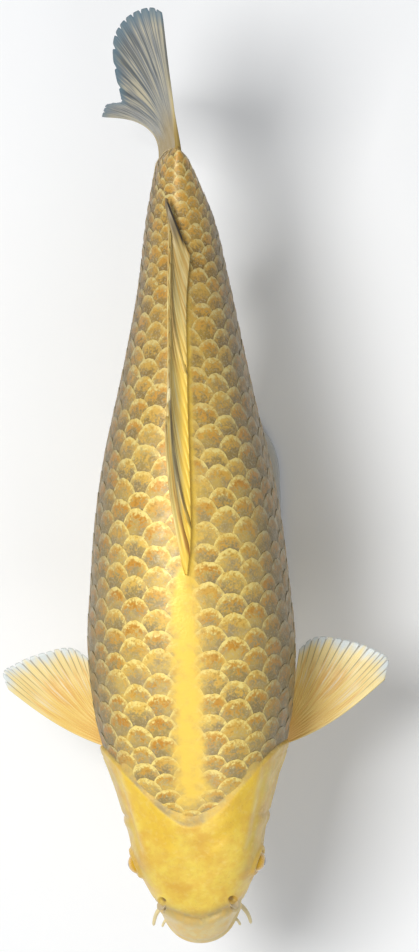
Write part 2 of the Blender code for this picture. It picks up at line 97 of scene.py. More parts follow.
GILL_EDGE = 0.150           # the gill cover's rear edge at the side line
NAPE_REACH = 0.058          # how far ahead of that edge the head ends at the nape
NAPE_POINT = 5.3
THROAT_REACH = 0.052        # and at the throat
GILL_FRONT = 0.094          # the gill cover's front edge
LIP_LENGTH_ABOVE = 0.0195
LIP_SLANT = 0.0105
MOUTH_LEVELS = (-0.0195, -0.0250)   # at the front and at the corner
MOUTH_CORNER = 0.028
EYE_RADIUS = 0.0090
EYE_CENTRE = (0.0422, 0.0625, 0.0105)
EYE_AIM = (-0.20, -0.06)    # how far the pupils look forward and down
CORNEA = 0.05               # how far the cornea bulges, beside the eyeball's radius
CORNEA_REACH = 0.62         # and its half width, as an angle
# root distance, root angle, tip (x, distance, z), root radius, tip radius
BARBELS = {
    "barbel_rear": (0.0262, -19, (0.0370, 0.0100, -0.0345), 0.0020, 0.0012),
    "barbel_front": (0.0170, -7, (0.0295, 0.0105, -0.0225), 0.0013, 0.0009),
}

FIN_CLEARANCE = 0.0010
FOLDED_CLEARANCE = 0.0023
DORSAL_BASE = (0.278, 0.512)
# place along the base, ray length, rise, lean, root's offset to the fish's left
DORSAL_RAYS = np.array((
    (0.00, 0.110, 8.0, 48.0, 0.0035),
    (0.10, 0.106, 8.5, 55.0, 0.0065),
    (0.30, 0.098, 9.0, 62.0, 0.0070),
    (0.60, 0.087, 10.0, 66.0, 0.0055),
    (0.85, 0.079, 11.0, 67.0, 0.0040),
    (1.00, 0.043, 24.0, 67.0, 0.0060),
))
DORSAL_CURL = 2.2
LAST_RAY_CURL = 1.0         # the last rays run straight to the folded tip
ANAL_BASE = (0.445, 0.488)
ANAL_RAYS = np.array((
    (0.0, 0.078, -52.0, 0.0, 0.0),
    (0.3, 0.068, -47.0, 0.0, 0.0),
    (1.0, 0.040, -33.0, 0.0, 0.0),
))
ANAL_CURL = 1.0
# place along the root, ray length, heading at its root and at its tip, rise
TAIL_RAYS = np.array((
    (-1.00, 0.0950, -8.0, -79.0, -46.0),
    (-0.75, 0.0850, -10.0, -73.0, -39.0),
    (-0.40, 0.0670, -10.0, -67.0, -24.0),
    (-0.05, 0.0550, -9.0, -59.0, -5.0),
    (0.25, 0.0900, -7.0, -40.0, 7.0),
    (0.45, 0.1005, -6.0, -30.0, 14.0),
    (0.65, 0.1070, -5.0, -19.0, 21.0),
    (0.85, 0.1105, -4.0, -9.0, 28.0),
    (1.00, 0.1100, -3.0, -4.0, 34.0),
))
TAIL_FORK = -0.05
TAIL_ROOT_HALF = 0.0350
TAIL_ROOT_LEVEL = 0.0008
TAIL_ROOT_GAP = 0.0012
TAIL_SUNK = 0.070           # share of a ray's length that is hidden inside the tail stalk
PECTORAL_ROOT = ((0.1435, -33.0), (0.1610, -26.5))
PECTORAL_RAYS = np.array((
    (0.00, 0.0985, 12.0, 40.0, 3.0),
    (0.12, 0.1060, 18.0, 43.0, 3.0),
    (0.35, 0.0980, 28.0, 45.0, 2.0),
    (0.60, 0.0830, 43.0, 57.0, 0.0),
    (0.85, 0.0695, 59.0, 70.0, -2.0),
    (1.00, 0.0555, 69.0, 76.0, -3.0),
))
PELVIC_ROOT = ((0.2830, -71.0), (0.2930, -79.0))
PELVIC_RAYS = np.array((
    (0.00, 0.0780, 58.0, 76.0, -30.0),
    (0.20, 0.0820, 64.0, 76.0, -32.0),
    (0.60, 0.0730, 74.0, 80.0, -33.0),
    (1.00, 0.0520, 84.0, 86.0, -34.0),
))
SIDES = {"right": -1, "left": 1}
PECTORAL_SPREAD = {"right": (0.0, 0.0), "left": (0.03, 4.0)}    # more length and more sweep

FLESH = ("head", "upper_jaw", "lower_jaw", "gill_cover_left", "gill_cover_right",
         "trunk_front", "trunk_rear", "tail_stalk")

# ---- mesh density ----
SLOPE_STEP = 0.001          # distance and angle over which slopes are measured
TURN_STEP = 0.01
SMALLEST = 1e-6             # keeps divisions off nought
SKIN_SIDES = 268
SNOUT_RINGS = 70
HEAD_RINGS = 208
BODY_RINGS = 76
HEAD_END = 0.156
SKIN_END = 0.5995           # inside the root of the tail fin
HUB_GAP = 0.002
THINS_FROM = 0.586          # from here to its end the skin thins and lowers into the tail fin
END_THINNING = 0.95
END_LOWERING = 0.42
STATIONS = 240              # places along the body where its girth is measured
SHARE_STEPS = 90            # steps from the side line to the back in that measure
RAY_STEPS = 12

# ---- relief of the skin ----
SCALE_BED = 0.0011          # how far the skin lies inside the outline under the scales
GILL_LIFT = 0.0014
NAPE_LIFT = 0.0006
GILL_SLIT = 0.0024
# slit, upper and lower lip, and a crease beyond each: height, place above the slit, half width
MOUTH_LINES = (
    (-0.0050, 0.0000, 0.0013),
    (0.0022, 0.0036, 0.0024),
    (0.00198, -0.0034, 0.0022),
    (-0.0008, 0.0090, 0.0016),
    (-0.0008, -0.0082, 0.0016),
)
EYE_SINK = 0.0062
NOSTRILS = ((0.0270, 0.0270, 0.0020), (0.0262, 0.0338, 0.0025))    # x, distance, radius
NOSTRIL_DEPTH = 0.0030
# pectoral and pelvic fins' roots, and the vent: height, distance, degrees, half length, half turn
SWELLINGS = (
    (0.0026, 0.153, -30.0, 0.0130, 7.0),
    (0.0020, 0.288, -75.0, 0.0130, 5.5),
    (-0.0016, 0.436, -90.0, 0.0035, 3.0),
)
CREASE_ANGLE = 49.0         # where the flat top of the head turns down to the cheek
STRIPE_HALF_WIDTH = 0.0090
STRIPE_X = 0.0015           # the stripe lies a little to the fish's left

# ---- scales ----
ROWS_AHEAD = 7.0            # rows from the side line to the back, ahead of the dorsal fin
ROWS_BEHIND = 5.0           # and on the tail stalk
FEWER_ROWS_BELOW = (0.30, 0.50)     # where the rows below the side line grow fewer
# distance, length of a scale that shows
SCALE_PITCH = np.array((
    (0.085, 0.0082),
    (0.110, 0.0104),
    (0.140, 0.0140),
    (0.200, 0.0155),
    (0.300, 0.0157),
    (0.400, 0.0148),
    (0.460, 0.0132),
    (0.520, 0.0112),
    (0.600, 0.0090),
))
PLATE_COLUMNS = 16
PLATE_ROWS = 8
PLATE_THICKNESS = 0.00028
PLATE_OVERLAP = 1.80        # length of a scale, in pitches
PLATE_HALF_WIDTH = 0.70     # in row spacings
PLATE_ROUND = 0.58          # how much of its length the rounded end takes
PLATE_SINK = -0.00030
PLATE_RISE = 0.00060
PLATE_DOME = 0.00030
PLATE_AHEAD = 0.95          # how far a scale starts ahead of its place, in pitches
HIDDEN_SINK = 0.0015        # how deep a scale dips where it runs under the skin of the head
PLATE_CORNER = math.radians(50.0)   # a plate's edges turn more sharply than this
PATCH = 0.003               # size of a scale's patch on its bake map
LAST_ROW_OVER = 0.25        # how much of a row may pass the midline
MIDLINE_SHARE = 0.98        # beyond this share one scale lies over both sides
SCALES_BEGIN = 0.004        # how far under the head's edge the first scales may start
LAST_SCALES = 0.0045        # farthest reach of a scale past the end of the tail stalk
SCALES_PART = 0.30          # where the front pieces of scales end and the rear ones begin
SCALE_SEED = 11

# ---- fins, nostrils and stand ----
FORKS = ((0.28, 0.46), (0.60, 0.76))    # where each ray splits in two, and splits again
RAY_COLUMNS = 16            # columns of points for each ray
FIN_NOTCH = 0.030
LEAD_THICK = 0.0007         # what the stout ray at a fin's edge adds to its thickness
DORSAL_ROWS = 90
DORSAL_STRANDS = 19
PLEAT_HEIGHT = 0.0005
CREASE_DEPTH = 0.0012
DEEP_CREASES = ((0.060, 0.013), (0.145, 0.008), (0.62, 0.006))
NOSTRIL_FLAP = 0.0050
NOSTRIL_FLAP_HALF = 0.0044
EYE_RINGS = 39
EYE_SIDES = 56
BARBEL_SINK = 0.0015
TUBE_SIDES = 14
CUP_SIDES = 40
# radius, height, and whether that height is taken from the belly and not from the rod's top
CUP_PROFILE = (
    (0.0056, -0.0090, False),
    (0.0072, -0.0090, False),
    (0.0078, -0.0080, False),
    (0.0082, -0.0040, False),
    (0.0098, -0.0012, True),
    (0.0100, 0.0006, True),
    (0.0088, 0.0012, True),
    (0.0056, 0.0010, True),
)

LIT_POINT = (0.0, 0.05, 0.19)
# name, place, size, power, tint
LAMPS = (
    ("key", (-0.85, 0.35, 2.6), 1.0, 50.0, (1.0, 0.985, 0.955)),
    ("fill", (0.5, -1.7, 2.1), 1.4, 14.0, (1.0, 1.0, 1.0)),
)
SKY = (0.95, 0.97, 1.0, 1.0)
SKY_STRENGTH = 0.30
FLOOR_REACH = 6.0
CAMERA_TURN = math.radians(1.58)
CAMERA_TILT = math.radians(3.3)
CAMERA_DISTANCE = 3.0
CAMERA_LOOK = Vector((0.0168, 0.0746, AXIS_HEIGHT))
VIEW_LENGTH = 0.7128        # length of the subject plane that the frame's height shows


def srgb(red, green, blue):
    """Linear colour from display values of 0 to 255."""
    shares = np.array((red, green, blue)) / 255.0
    return tuple(np.where(shares <= 0.04045, shares / 12.92, ((shares + 0.055) / 1.055) ** 2.4))


HEAD_GOLD = srgb(252, 220, 92)
HEAD_TAN = srgb(236, 186, 74)
HEAD_GLOW = srgb(248, 206, 66)
# olive of the cheeks; on the head's sides it is also painted shade
CHEEK_OLIVE = srgb(174, 146, 84)
LIP_TAN = srgb(226, 206, 154)
# tan painted shade for the groove behind the lips
GROOVE_SHADE_TAN = srgb(172, 150, 102)
# yellow of the stripe on the back, lightened as a painted highlight of the lit ridge
STRIPE_GOLD_HIGHLIGHT = srgb(252, 212, 86)
BACK_GOLD = srgb(236, 202, 104)
BACK_GREY = srgb(188, 166, 116)
BACK_UMBER = srgb(160, 128, 62)
# grey-olive of the flanks, darkened further as painted shade on the sides
FLANK_GREY_SHADE = srgb(110, 96, 60)
BELLY_CREAM = srgb(232, 212, 156)
# dark brown painted shade for deep hollows of the skin
CREVICE_SHADE = srgb(92, 66, 36)
CAP_GOLD = srgb(238, 200, 96)
CAP_ORANGE = srgb(204, 138, 38)
CAP_UMBER = srgb(158, 118, 48)
# darker cap colour for the flanks, partly painted shade on the sides
CAP_FLANK_SHADE = srgb(176, 138, 68)
# olive and umber of a scale's root, darkened as painted shade where the scale ahead overlaps
ROOT_SHADE_OLIVE = srgb(136, 118, 74)
ROOT_SHADE_UMBER = srgb(120, 94, 42)
ROOT_SILVER = srgb(208, 196, 160)
SCALE_RIM = srgb(255, 232, 140)
# darker rim colour for the flanks, partly painted shade on the sides
RIM_FLANK_SHADE = srgb(176, 164, 124)
FIN_ORANGE = srgb(226, 174, 84)
FIN_GOLD = srgb(240, 206, 116)
FIN_CREAM = srgb(240, 220, 152)
FIN_PALE = srgb(240, 232, 204)
FIN_RIM = srgb(212, 220, 220)
FIN_DARK = srgb(128, 112, 78)
TAIL_GREY = srgb(118, 124, 128)
TAIL_RAY = srgb(188, 180, 154)
TAIL_CREAM = srgb(222, 202, 142)
TAIL_DARK = srgb(76, 84, 88)
TAIL_TEAL = srgb(92, 118, 132)
TAIL_OLIVE = srgb(160, 134, 66)
DORSAL_GOLD = srgb(250, 226, 132)
DORSAL_OLIVE = srgb(220, 202, 132)
DORSAL_CREAM = srgb(250, 238, 186)
DORSAL_REAR = srgb(186, 160, 92)
DORSAL_GREY = srgb(112, 100, 80)
# painted shade for the folded dorsal fin's creases and the valleys between its strands
CREASE_SHADE_ORANGE = srgb(158, 100, 36)
CREASE_SHADE_BROWN = srgb(92, 70, 42)
# painted shadow along the folded dorsal fin's last ray
EDGE_SHADOW_BLACK = srgb(48, 42, 34)
EYE_GOLD = srgb(240, 196, 84)
EYE_AMBER = srgb(212, 156, 28)
EYE_ORANGE = srgb(214, 166, 28)
EYE_RING = srgb(242, 204, 110)
EYE_BLACK = srgb(10, 9, 9)
BARBEL_CREAM = srgb(230, 214, 164)
STAND_PALE = srgb(206, 206, 202)
STAND_SHADE = srgb(192, 193, 190)
STEEL_DARK = srgb(168, 170, 172)
STEEL_LIGHT = srgb(206, 207, 208)
RUBBER_LIGHT = srgb(196, 196, 190)
RUBBER_DARK = srgb(176, 176, 170)
FLOOR_LOW = srgb(246, 248, 251)
FLOOR_HIGH = srgb(250, 252, 255)


# ---- curves and surfaces ----

def vectors(*parts):
    """Numbers or arrays side by side along the last axis of one array."""
    return np.stack(np.broadcast_arrays(*parts), axis=-1)


def smooth(table, column, at):
    """A table's column at many places, on a smooth curve through its rows."""
    knots, values = table[:, 0], table[:, column]
    last = len(knots) - 1
    rows = np.arange(last + 1)
    before, after = np.maximum(rows - 1, 0), np.minimum(rows + 1, last)
    slopes = (values[after] - values[before]) / (knots[after] - knots[before])
    at = np.clip(at, knots[0], knots[-1])
    i = np.clip(np.searchsorted(knots, at) - 1, 0, last - 1)
    span = knots[i + 1] - knots[i]
    t = (at - knots[i]) / span
    rise = values[i + 1] - values[i]
    curve = (slopes[i] * span - rise) * (1 - t) - (slopes[i + 1] * span - rise) * t
    return values[i] + rise * t + t * (1 - t) * curve


def smooth_row(table, at):
    """The four columns of a table of rays at many places."""
    return (smooth(table, column, at) for column in (1, 2, 3, 4))


def ramp(value, low, high):
    """0 below low, 1 above high and a smooth rise between them; low may be the higher."""
    t = np.clip((value - low) / (high - low), 0.0, 1.0)
    return t * t * (3.0 - 2.0 * t)


def hump(value, centre, width):
    """A smooth bump, 1 at its centre."""
    return np.exp(-((value - centre) / width) ** 2)


def window(value, rise_from, rise_to, fall_from, fall_to):
    """1 between a smooth rise and a smooth fall."""
    return ramp(value, rise_from, rise_to) * ramp(value, fall_to, fall_from)


def nose_factor(distance):
    """How much of the body's full size is there: it rounds off to nothing at the snout."""
    return np.sqrt(np.maximum(1.0 - (1.0 - np.clip(distance / NOSE_ROUND, 0.0, 1.0)) ** 2, 0.0))


def level(distance, column):
    """Height of the back, the belly or the side line about the straight axis."""
    full = smooth(SECTIONS, column, distance) - NOSE_LEVEL
    return NOSE_LEVEL + full * nose_factor(distance)


def surface(distance, angle):
    """Points of the plain body; near its end it shrinks into the tail fin's root."""
    distance, angle = np.broadcast_arrays(distance, angle)
    thin = 1.0 - END_THINNING * ramp(distance, THINS_FROM, SKIN_END)
    low = 1.0 - END_LOWERING * ramp(distance, STALK_END, SKIN_END)
    half_width = smooth(SECTIONS, WIDTH, distance) * nose_factor(distance) * thin
    middle = level(distance, WIDEST)
    upper = np.sin(angle) >= 0.0
    above, below = level(distance, TOP) - middle, middle - level(distance, BOTTOM)
    half_height = np.where(upper, above, below) * low
    power = np.where(upper, smooth(SECTIONS, UPPER_SQUARE, distance),
                     smooth(SECTIONS, LOWER_SQUARE, distance))
    across = (np.abs(np.cos(angle)) / np.maximum(half_width, SMALLEST)) ** power
    along = (np.abs(np.sin(angle)) / np.maximum(half_height, SMALLEST)) ** power
    radius = (across + along) ** (-1.0 / power)
    return vectors(radius * np.cos(angle), distance, middle + radius * np.sin(angle))


def unit(arrows):
    return arrows / np.maximum(np.linalg.norm(arrows, axis=-1, keepdims=True), 1e-12)


def outward(distance, angle):
    """Unit vectors standing off the body."""
    step = np.minimum(SLOPE_STEP, 0.5 * distance + 1e-5)
    along = surface(distance + step, angle) - surface(distance - step, angle)
    around = surface(distance, angle + TURN_STEP) - surface(distance, angle - TURN_STEP)
    return unit(np.cross(along, around))


def place(points):
    """Bend and twist points of the straight fish, and set them over the stand."""
    x, distance, z = points[..., 0], points[..., 1], points[..., 2]
    turn = np.radians(smooth(BACKBONE, TWIST, distance))
    placed_x = x * np.cos(turn) + z * np.sin(turn) + smooth(BACKBONE, BEND_X, distance)
    placed_z = z * np.cos(turn) - x * np.sin(turn) + AXIS_HEIGHT
    return vectors(placed_x, distance - SNOUT_TO_STAND, placed_z)


def degrees_up(angle):
    """Degrees above the side line, the same on both sides of the midline."""
    return np.degrees(np.arcsin(np.clip(np.sin(angle), -1.0, 1.0)))


def lip_edge(angle):
    """The groove behind the lips: nearest the tip on the midline, further back at the sides."""
    return LIP_LENGTH_ABOVE + LIP_SLANT * (1.0 - np.maximum(np.sin(angle), 0.0) ** 4)


def gill_edge(angle):
    """Where the head ends: the gill cover's rear edge, the nape and the throat."""
    height = np.sin(angle)
    nape = NAPE_REACH * np.maximum(height, 0.0) ** NAPE_POINT
    throat = THROAT_REACH * np.minimum(height, 0.0) ** 2
    return GILL_EDGE - nape - throat


def measure_girth():
    """A table of angles round the body: a row for each station, a column for each share."""
    stations = np.linspace(0.0, SKIN_END, STATIONS)
    turns = np.linspace(-math.pi / 2, math.pi / 2, 2 * SHARE_STEPS + 1)
    points = surface(stations[:, None], turns[None, :])
    steps = np.linalg.norm(np.diff(points, axis=1), axis=2)
    arcs = np.concatenate((np.zeros((STATIONS, 1)), np.cumsum(steps, axis=1)), axis=1)
    arcs -= arcs[:, SHARE_STEPS:SHARE_STEPS + 1]
    shares = np.linspace(-1.0, 1.0, 2 * SHARE_STEPS + 1)
    wanted = np.where(shares >= 0.0, shares * arcs[:, -1:], -shares * arcs[:, :1])
    return np.array([np.interp(wanted[i], arcs[i], turns) for i in range(STATIONS)])


GIRTH_ANGLES = measure_girth()


def angle_at(distance, share):
    """Angle round the body at a share; past 1 or -1 it runs on over the midline."""
    over = np.where(share > 1.0, 2.0 - share, np.where(share < -1.0, -2.0 - share, share))
    row = np.clip(distance / SKIN_END, 0.0, 1.0) * (STATIONS - 1)
    column = (over + 1.0) * SHARE_STEPS
    i = np.clip(row.astype(int), 0, STATIONS - 2)
    j = np.clip(column.astype(int), 0, 2 * SHARE_STEPS - 1)
    s, t = row - i, column - j
    low = GIRTH_ANGLES[i, j] * (1 - t) + GIRTH_ANGLES[i, j + 1] * t
    high = GIRTH_ANGLES[i + 1, j] * (1 - t) + GIRTH_ANGLES[i + 1, j + 1] * t
    angle = low * (1 - s) + high * s
    return np.where(share > 1.0, math.pi - angle,
                    np.where(share < -1.0, -math.pi - angle, angle))


# ---- relief of the skin, all in metres off the plain body ----

def gill_relief(distance, degrees, edge):
    """The gill cover stands proud, with the slit behind it; over the nape the step is low."""
    behind = distance - edge
    cover = ramp(degrees, 56, 42)
    lift = (GILL_LIFT - NAPE_LIFT) * cover + NAPE_LIFT
    plate = lift * window(behind, -0.028, -0.004, -0.0012, 0.0009)
    slit = GILL_SLIT * cover * ramp(degrees, -86, -66) * hump(behind, 0.0019, 0.0014)
    return plate - slit


def cheek_relief(distance, degrees, edge):
    """Edges of the cheek's bones: the plate ahead of the gill cover and those below it."""
    behind = distance - edge
    front = GILL_FRONT + 0.004 - 0.016 * (np.maximum(12.0 - degrees, 0.0) / 65.0) ** 2
    plate = 0.0010 * (hump(distance, front - 0.0052, 0.0038) - hump(distance, front, 0.0016))
    plate = plate * window(degrees, -62, -50, 36, 46)
    lower_line = 0.0007 * hump(degrees + 30 + 400 * (distance - 0.12), 0, 2.2)
    lower_line = lower_line * window(distance, 0.096, 0.101, 0.132, 0.142)
    fringe = 0.0005 * hump(behind, -0.0068, 0.0010) * window(degrees, -60, -48, 30, 44)
    crease = 0.0008 * (hump(degrees, CREASE_ANGLE + 4.0, 4.0) - hump(degrees, CREASE_ANGLE - 3.0, 3.0))
    crease = crease * window(distance, 0.064, 0.080, 0.128, 0.146)
    under = 0.0006 * hump(behind, -0.014, 0.0014) * window(degrees, -84, -74, -58, -52)
    fan = np.arctan2(degrees - 22.0, 1000.0 * (distance - GILL_FRONT))
    striae = 0.00024 * np.sin(fan * 34.0 + 3.0 * np.sin(fan * 5.0))
    striae = striae * window(behind, -0.050, -0.032, -0.016, -0.004)
    striae = striae * window(degrees, -50, -34, 24, 40)
    return plate - lower_line - fringe + crease - under + striae


def eye_relief(point):
    """A socket with a soft raised ring, and a shallow fold beneath it."""
    off = np.hypot(point[..., 1] - EYE_CENTRE[1], point[..., 2] - EYE_CENTRE[2])
    side = ramp(np.abs(point[..., 0]), 0.030, 0.036)
    hole = EYE_SINK * ramp(off, 0.0081, 0.0067)
    ring = 0.0022 * hump(off, 0.0096, 0.0020)
    below = ramp(point[..., 2], EYE_CENTRE[2] + 0.004, EYE_CENTRE[2] - 0.006)
    fold = 0.0006 * hump(off, 0.0140, 0.0015) * below
    return (ring - hole - fold) * side


def mouth_relief(distance, angle, point):
    """Two rolled lips with the closed mouth between them, and the groove behind the lips."""
    front, corner = MOUTH_LEVELS
    above = point[..., 2] - front - (corner - front) * (distance / MOUTH_CORNER) ** 1.6
    lips = sum(height * hump(above, centre, width) for height, centre, width in MOUTH_LINES)
    behind = distance - lip_edge(angle)
    lift = np.sin(angle)
    groove = 0.0010 * hump(behind, 0.0, 0.0024) * ramp(lift, -0.9, -0.2)
    roll = 0.0009 * hump(behind, -0.0055, 0.0035) * ramp(lift, -0.1, 0.4)
    second = 0.0004 * hump(behind, 0.0042, 0.0011) * window(lift, -0.5, 0.0, 0.6, 0.9)
    return lips * ramp(distance, 0.031, 0.025) + roll - groove - second


def nostril_relief(point):
    """Two openings on each side of the snout, each with a low rim."""
    total = 0.0
    upper = ramp(point[..., 2], -0.006, 0.0)
    for x, distance, radius in NOSTRILS:
        off = np.hypot(np.abs(point[..., 0]) - x, point[..., 1] - distance) / radius
        total = total + 0.0005 * hump(off, 1.5, 0.4) - NOSTRIL_DEPTH * np.exp(-off ** 4)
    return total * upper


def head_form(distance, degrees, edge):
    """Slow swellings of the skull, over the eyes and between them, and of the cheek."""
    head = ramp(distance - edge, 0.0, -0.010) * ramp(distance, 0.004, 0.022)
    waves = np.sin(distance * 210 + degrees * 0.07) * np.sin(degrees * 0.11 + distance * 90)
    middle = hump(degrees, 90, 10) * window(distance, 0.040, 0.060, 0.075, 0.095)
    return head * (0.00025 * waves - 0.0006 * middle)


def dorsal_root(distance):
    """How far the dorsal fin's root lies to the fish's left."""
    along = (distance - DORSAL_BASE[0]) / (DORSAL_BASE[1] - DORSAL_BASE[0])
    return smooth(DORSAL_RAYS, 4, along)


def root_relief(distance, degrees, point):
    """Flesh that swells round the roots of the fins, and the dent of the vent."""
    total = 0.0018 * hump(degrees, -90, 5) * window(distance, 0.435, 0.446, 0.484, 0.498)
    for height, centre, up, half_length, half_turn in SWELLINGS:
        off = np.hypot((distance - centre) / half_length, (degrees - up) / half_turn)
        total = total + height * hump(off, 0, 1)
    sheath = 0.0020 * hump(point[..., 0], dorsal_root(distance), 0.0042) * (point[..., 2] > 0.0)
    return total + sheath * window(distance, 0.262, 0.282, 0.505, 0.524)


def scaled_area(distance, degrees, edge):
    """1 where scales lie over the skin, 0 on the head and on the bare fold of the nape."""
    bare = 0.001 + 0.004 * ramp(degrees, 62, 84)
    return ramp(distance - edge - bare, 0.0, 0.004)


def relief(distance, angle, point):
    """How far the skin stands off the plain body."""
    degrees, edge = degrees_up(angle), gill_edge(angle)
    return (gill_relief(distance, degrees, edge) + cheek_relief(distance, degrees, edge)
            + eye_relief(point) + mouth_relief(distance, angle, point) + nostril_relief(point)
            + head_form(distance, degrees, edge) + root_relief(distance, degrees, point)
            - SCALE_BED * scaled_area(distance, degrees, edge))


def on_body(distance, share, side):
    """Points of the plain body at shares round it, with their normals and angles."""
    angle = angle_at(distance, share)
    mirror = vectors(np.broadcast_to(side, angle.shape), 1.0, 1.0)
    return surface(distance, angle) * mirror, outward(distance, angle) * mirror, angle


# ---- markings ----

def markings(distance, angle, point, depth):
    """Weights of the colours that skin and scales share, as two vectors for each point."""
    degrees = degrees_up(angle)
    head = ramp(distance - gill_edge(angle), 0.0012, -0.0012)
    width = STRIPE_HALF_WIDTH * (1.0 + 0.25 * ramp(distance, 0.15, 0.11))
    width = width * (1.0 - 0.55 * ramp(distance, 0.255, 0.290)) * (1.0 - 0.3 * ramp(distance, 0.3, 0.5))
    middle = STRIPE_X + (dorsal_root(distance) - STRIPE_X) * ramp(distance, 0.262, 0.285)
    off = np.abs(point[..., 0] - middle)
    on_back = (point[..., 2] > 0.0) * window(distance, 0.086, 0.126, 0.440, 0.520)
    # the stripe: a yellow band along the back that also carries a painted highlight of the lit ridge
    stripe_highlight = 0.70 * ramp(off, width * 1.9, width * 0.3) + 0.30 * ramp(off, 0.036, width * 0.8)
    turn_down = 8.0 * ramp(distance, 0.22, 0.42)
    # the flanks are grey-olive and darker still as painted shade where the sides turn down from the
    # light
    flank_shade = ramp(degrees, 64 + turn_down, 26 + turn_down)
    belly = ramp(degrees, 12, -52)
    lip = ramp(distance - lip_edge(angle), 0.004, -0.006)
    # painted shade in deep hollows: the eye socket, nostrils, mouth and gill slits
    crevice_shade = ramp(-depth, SCALE_BED + 0.0006, 0.0030)
    return vectors(head, stripe_highlight * on_back, flank_shade), vectors(belly, lip, crevice_shade)


def head_markings(distance, angle):
    """Weights of the head's colours: a glow by the nape, painted shade in the snout's groove, and olive
    cheeks that are partly painted shade.
    """
    degrees = degrees_up(angle)
    glow = window(degrees, CREASE_ANGLE, CREASE_ANGLE + 5, 72, 84)
    glow = glow * window(distance - gill_edge(angle), -0.044, -0.024, -0.002, 0.001)
    # painted shade in the groove behind the lips
    groove = hump(distance - lip_edge(angle), 0.0005, 0.0052) * ramp(degrees, 0, 25)
    # olive cheeks and gill covers, partly painted shade on the head's sides
    cheek_shade = window(degrees, -45, -15, 34, 56) * window(distance, 0.030, 0.060, 0.148, 0.156)
    return vectors(glow, groove, cheek_shade)


# ---- making meshes ----

def mesh_from(name, points, faces):
    """A smooth mesh from an array of points and one of four-cornered faces."""
    mesh = bpy.data.meshes.new(name)
    mesh.vertices.add(points.size // 3)
    mesh.vertices.foreach_set("co", np.ascontiguousarray(points, dtype=np.float32).ravel())
    mesh.loops.add(faces.size)
    mesh.loops.foreach_set("vertex_index", faces.astype(np.int32).ravel())
    mesh.polygons.add(faces.size // 4)
    mesh.polygons.foreach_set("loop_start", np.arange(0, faces.size, 4, dtype=np.int32))
    mesh.update(calc_edges=True)
    mesh.shade_smooth()
    return mesh


def set_map(mesh, corners):
    """The bake map, given at each face corner."""
    layer = mesh.uv_layers.new(name="OFBake")
    layer.uv.foreach_set("vector", np.ascontiguousarray(corners, dtype=np.float32).ravel())


def set_vectors(mesh, name, values):
    """Stores three numbers at each point, for a look to read by name."""
    made = mesh.attributes.new(name, "FLOAT_VECTOR", "POINT")
    made.data.foreach_set("vector", np.ascontiguousarray(values, dtype=np.float32).ravel())


def add_object(name, data):
    """An object of the scene that holds a mesh, a lamp or a camera."""
    made = bpy.data.objects.new(name, data)
    bpy.context.scene.collection.objects.link(made)
    return made


def add_piece(mesh, look, nodes=()):
    """A piece of the fish, named as its mesh, which rides on the fish's one body."""
    piece = add_object(mesh.name, mesh)
    mesh.materials.append(look)
    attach(piece, "root")
    if nodes:
        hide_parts(*nodes)


def grid_faces(rows, columns):
    """Faces of a grid of rows by columns points, numbered row by row."""
    corner = (np.arange(rows - 1)[:, None] * columns + np.arange(columns - 1)).ravel()
    return vectors(corner, corner + columns, corner + columns + 1, corner + 1)


def ring_faces(rings, sides, closed=False):
    """Faces between rings of points; closed joins the last ring to the first.

    They look outward where the rings run anticlockwise as seen from beyond the last one.
    """
    ring, at = np.meshgrid(np.arange(rings if closed else rings - 1), np.arange(sides), indexing="ij")
    low, high = ring * sides, (ring + 1) % rings * sides
    following = (at + 1) % sides
    return vectors(low + at, low + following, high + following, high + at).reshape(-1, 4)


def close_ends(mesh, rings, sides):
    """Fans from the last two points of a mesh to its first ring and to its last one."""
    work = bmesh.new()
    work.from_mesh(mesh)
    work.verts.ensure_lookup_table()
    flat = work.loops.layers.uv.get("OFBake")
    count = rings * sides
    for hub, first, turn, along in ((count, 0, 1, 0.0), (count + 1, count - sides, -1, 1.0)):
        for i in range(sides):
            corners = ((first + i, i), (first + (i + 1) % sides, i + 1), (hub, i + 0.5))[::turn]
            face = work.faces.new([work.verts[corner] for corner, _ in corners])
            face.smooth = True
            for loop, (_, round_at) in zip(face.loops, corners if flat is not None else ()):
                loop[flat].uv = (round_at / sides, along)
    work.to_mesh(mesh)
    work.free()


def plate_faces(rows, columns):
    """Faces of a closed plate: a grid on top, the same grid below and a wall round them."""
    top = grid_faces(rows, columns)
    count = rows * columns
    edge = np.concatenate((
        np.arange(columns),
        np.arange(1, rows) * columns + columns - 1,
        (rows - 1) * columns + np.arange(columns - 2, -1, -1),
        np.arange(rows - 2, 0, -1) * columns,
    ))
    following = np.roll(edge, -1)
    wall = vectors(edge, following, following + count, edge + count)
    return np.concatenate((top, top[:, ::-1] + count, wall))


def grid_normals(points):
    """Unit vectors that stand off a sheet of points."""
    return unit(np.cross(np.gradient(points, axis=0), np.gradient(points, axis=1)))


def blade_mesh(name, points, thickness, values):
    """A closed blade round a sheet of points; values are what its colours are drawn from."""
    half = 0.5 * thickness[..., None] * grid_normals(points)
    mesh = mesh_from(name, np.stack((points + half, points - half)), plate_faces(*points.shape[:2]))
    for label, array in values.items():
        set_vectors(mesh, label, np.stack((array, array)))
    return mesh


# ---- materials ----

class Value:
    """A number or colour that nodes work out at each point; sums with it make more nodes."""

    def __init__(self, look, socket):
        self.look = look
        self.socket = socket

    def __add__(self, other):
        return self.look.math("ADD", self, other)

    def __mul__(self, other):
        return self.look.math("MULTIPLY", self, other)

    def __sub__(self, other):
        return self.look.math("SUBTRACT", self, other)

    def __rsub__(self, other):
        return self.look.math("SUBTRACT", other, self)

    def span(self, low, high, start=0.0, end=1.0):
        """A smooth change from start to end as this goes from low to high."""
        return self.look.node("MapRange", {0: self, 1: low, 2: high, 3: start, 4: end},
                              interpolation_type="SMOOTHSTEP")


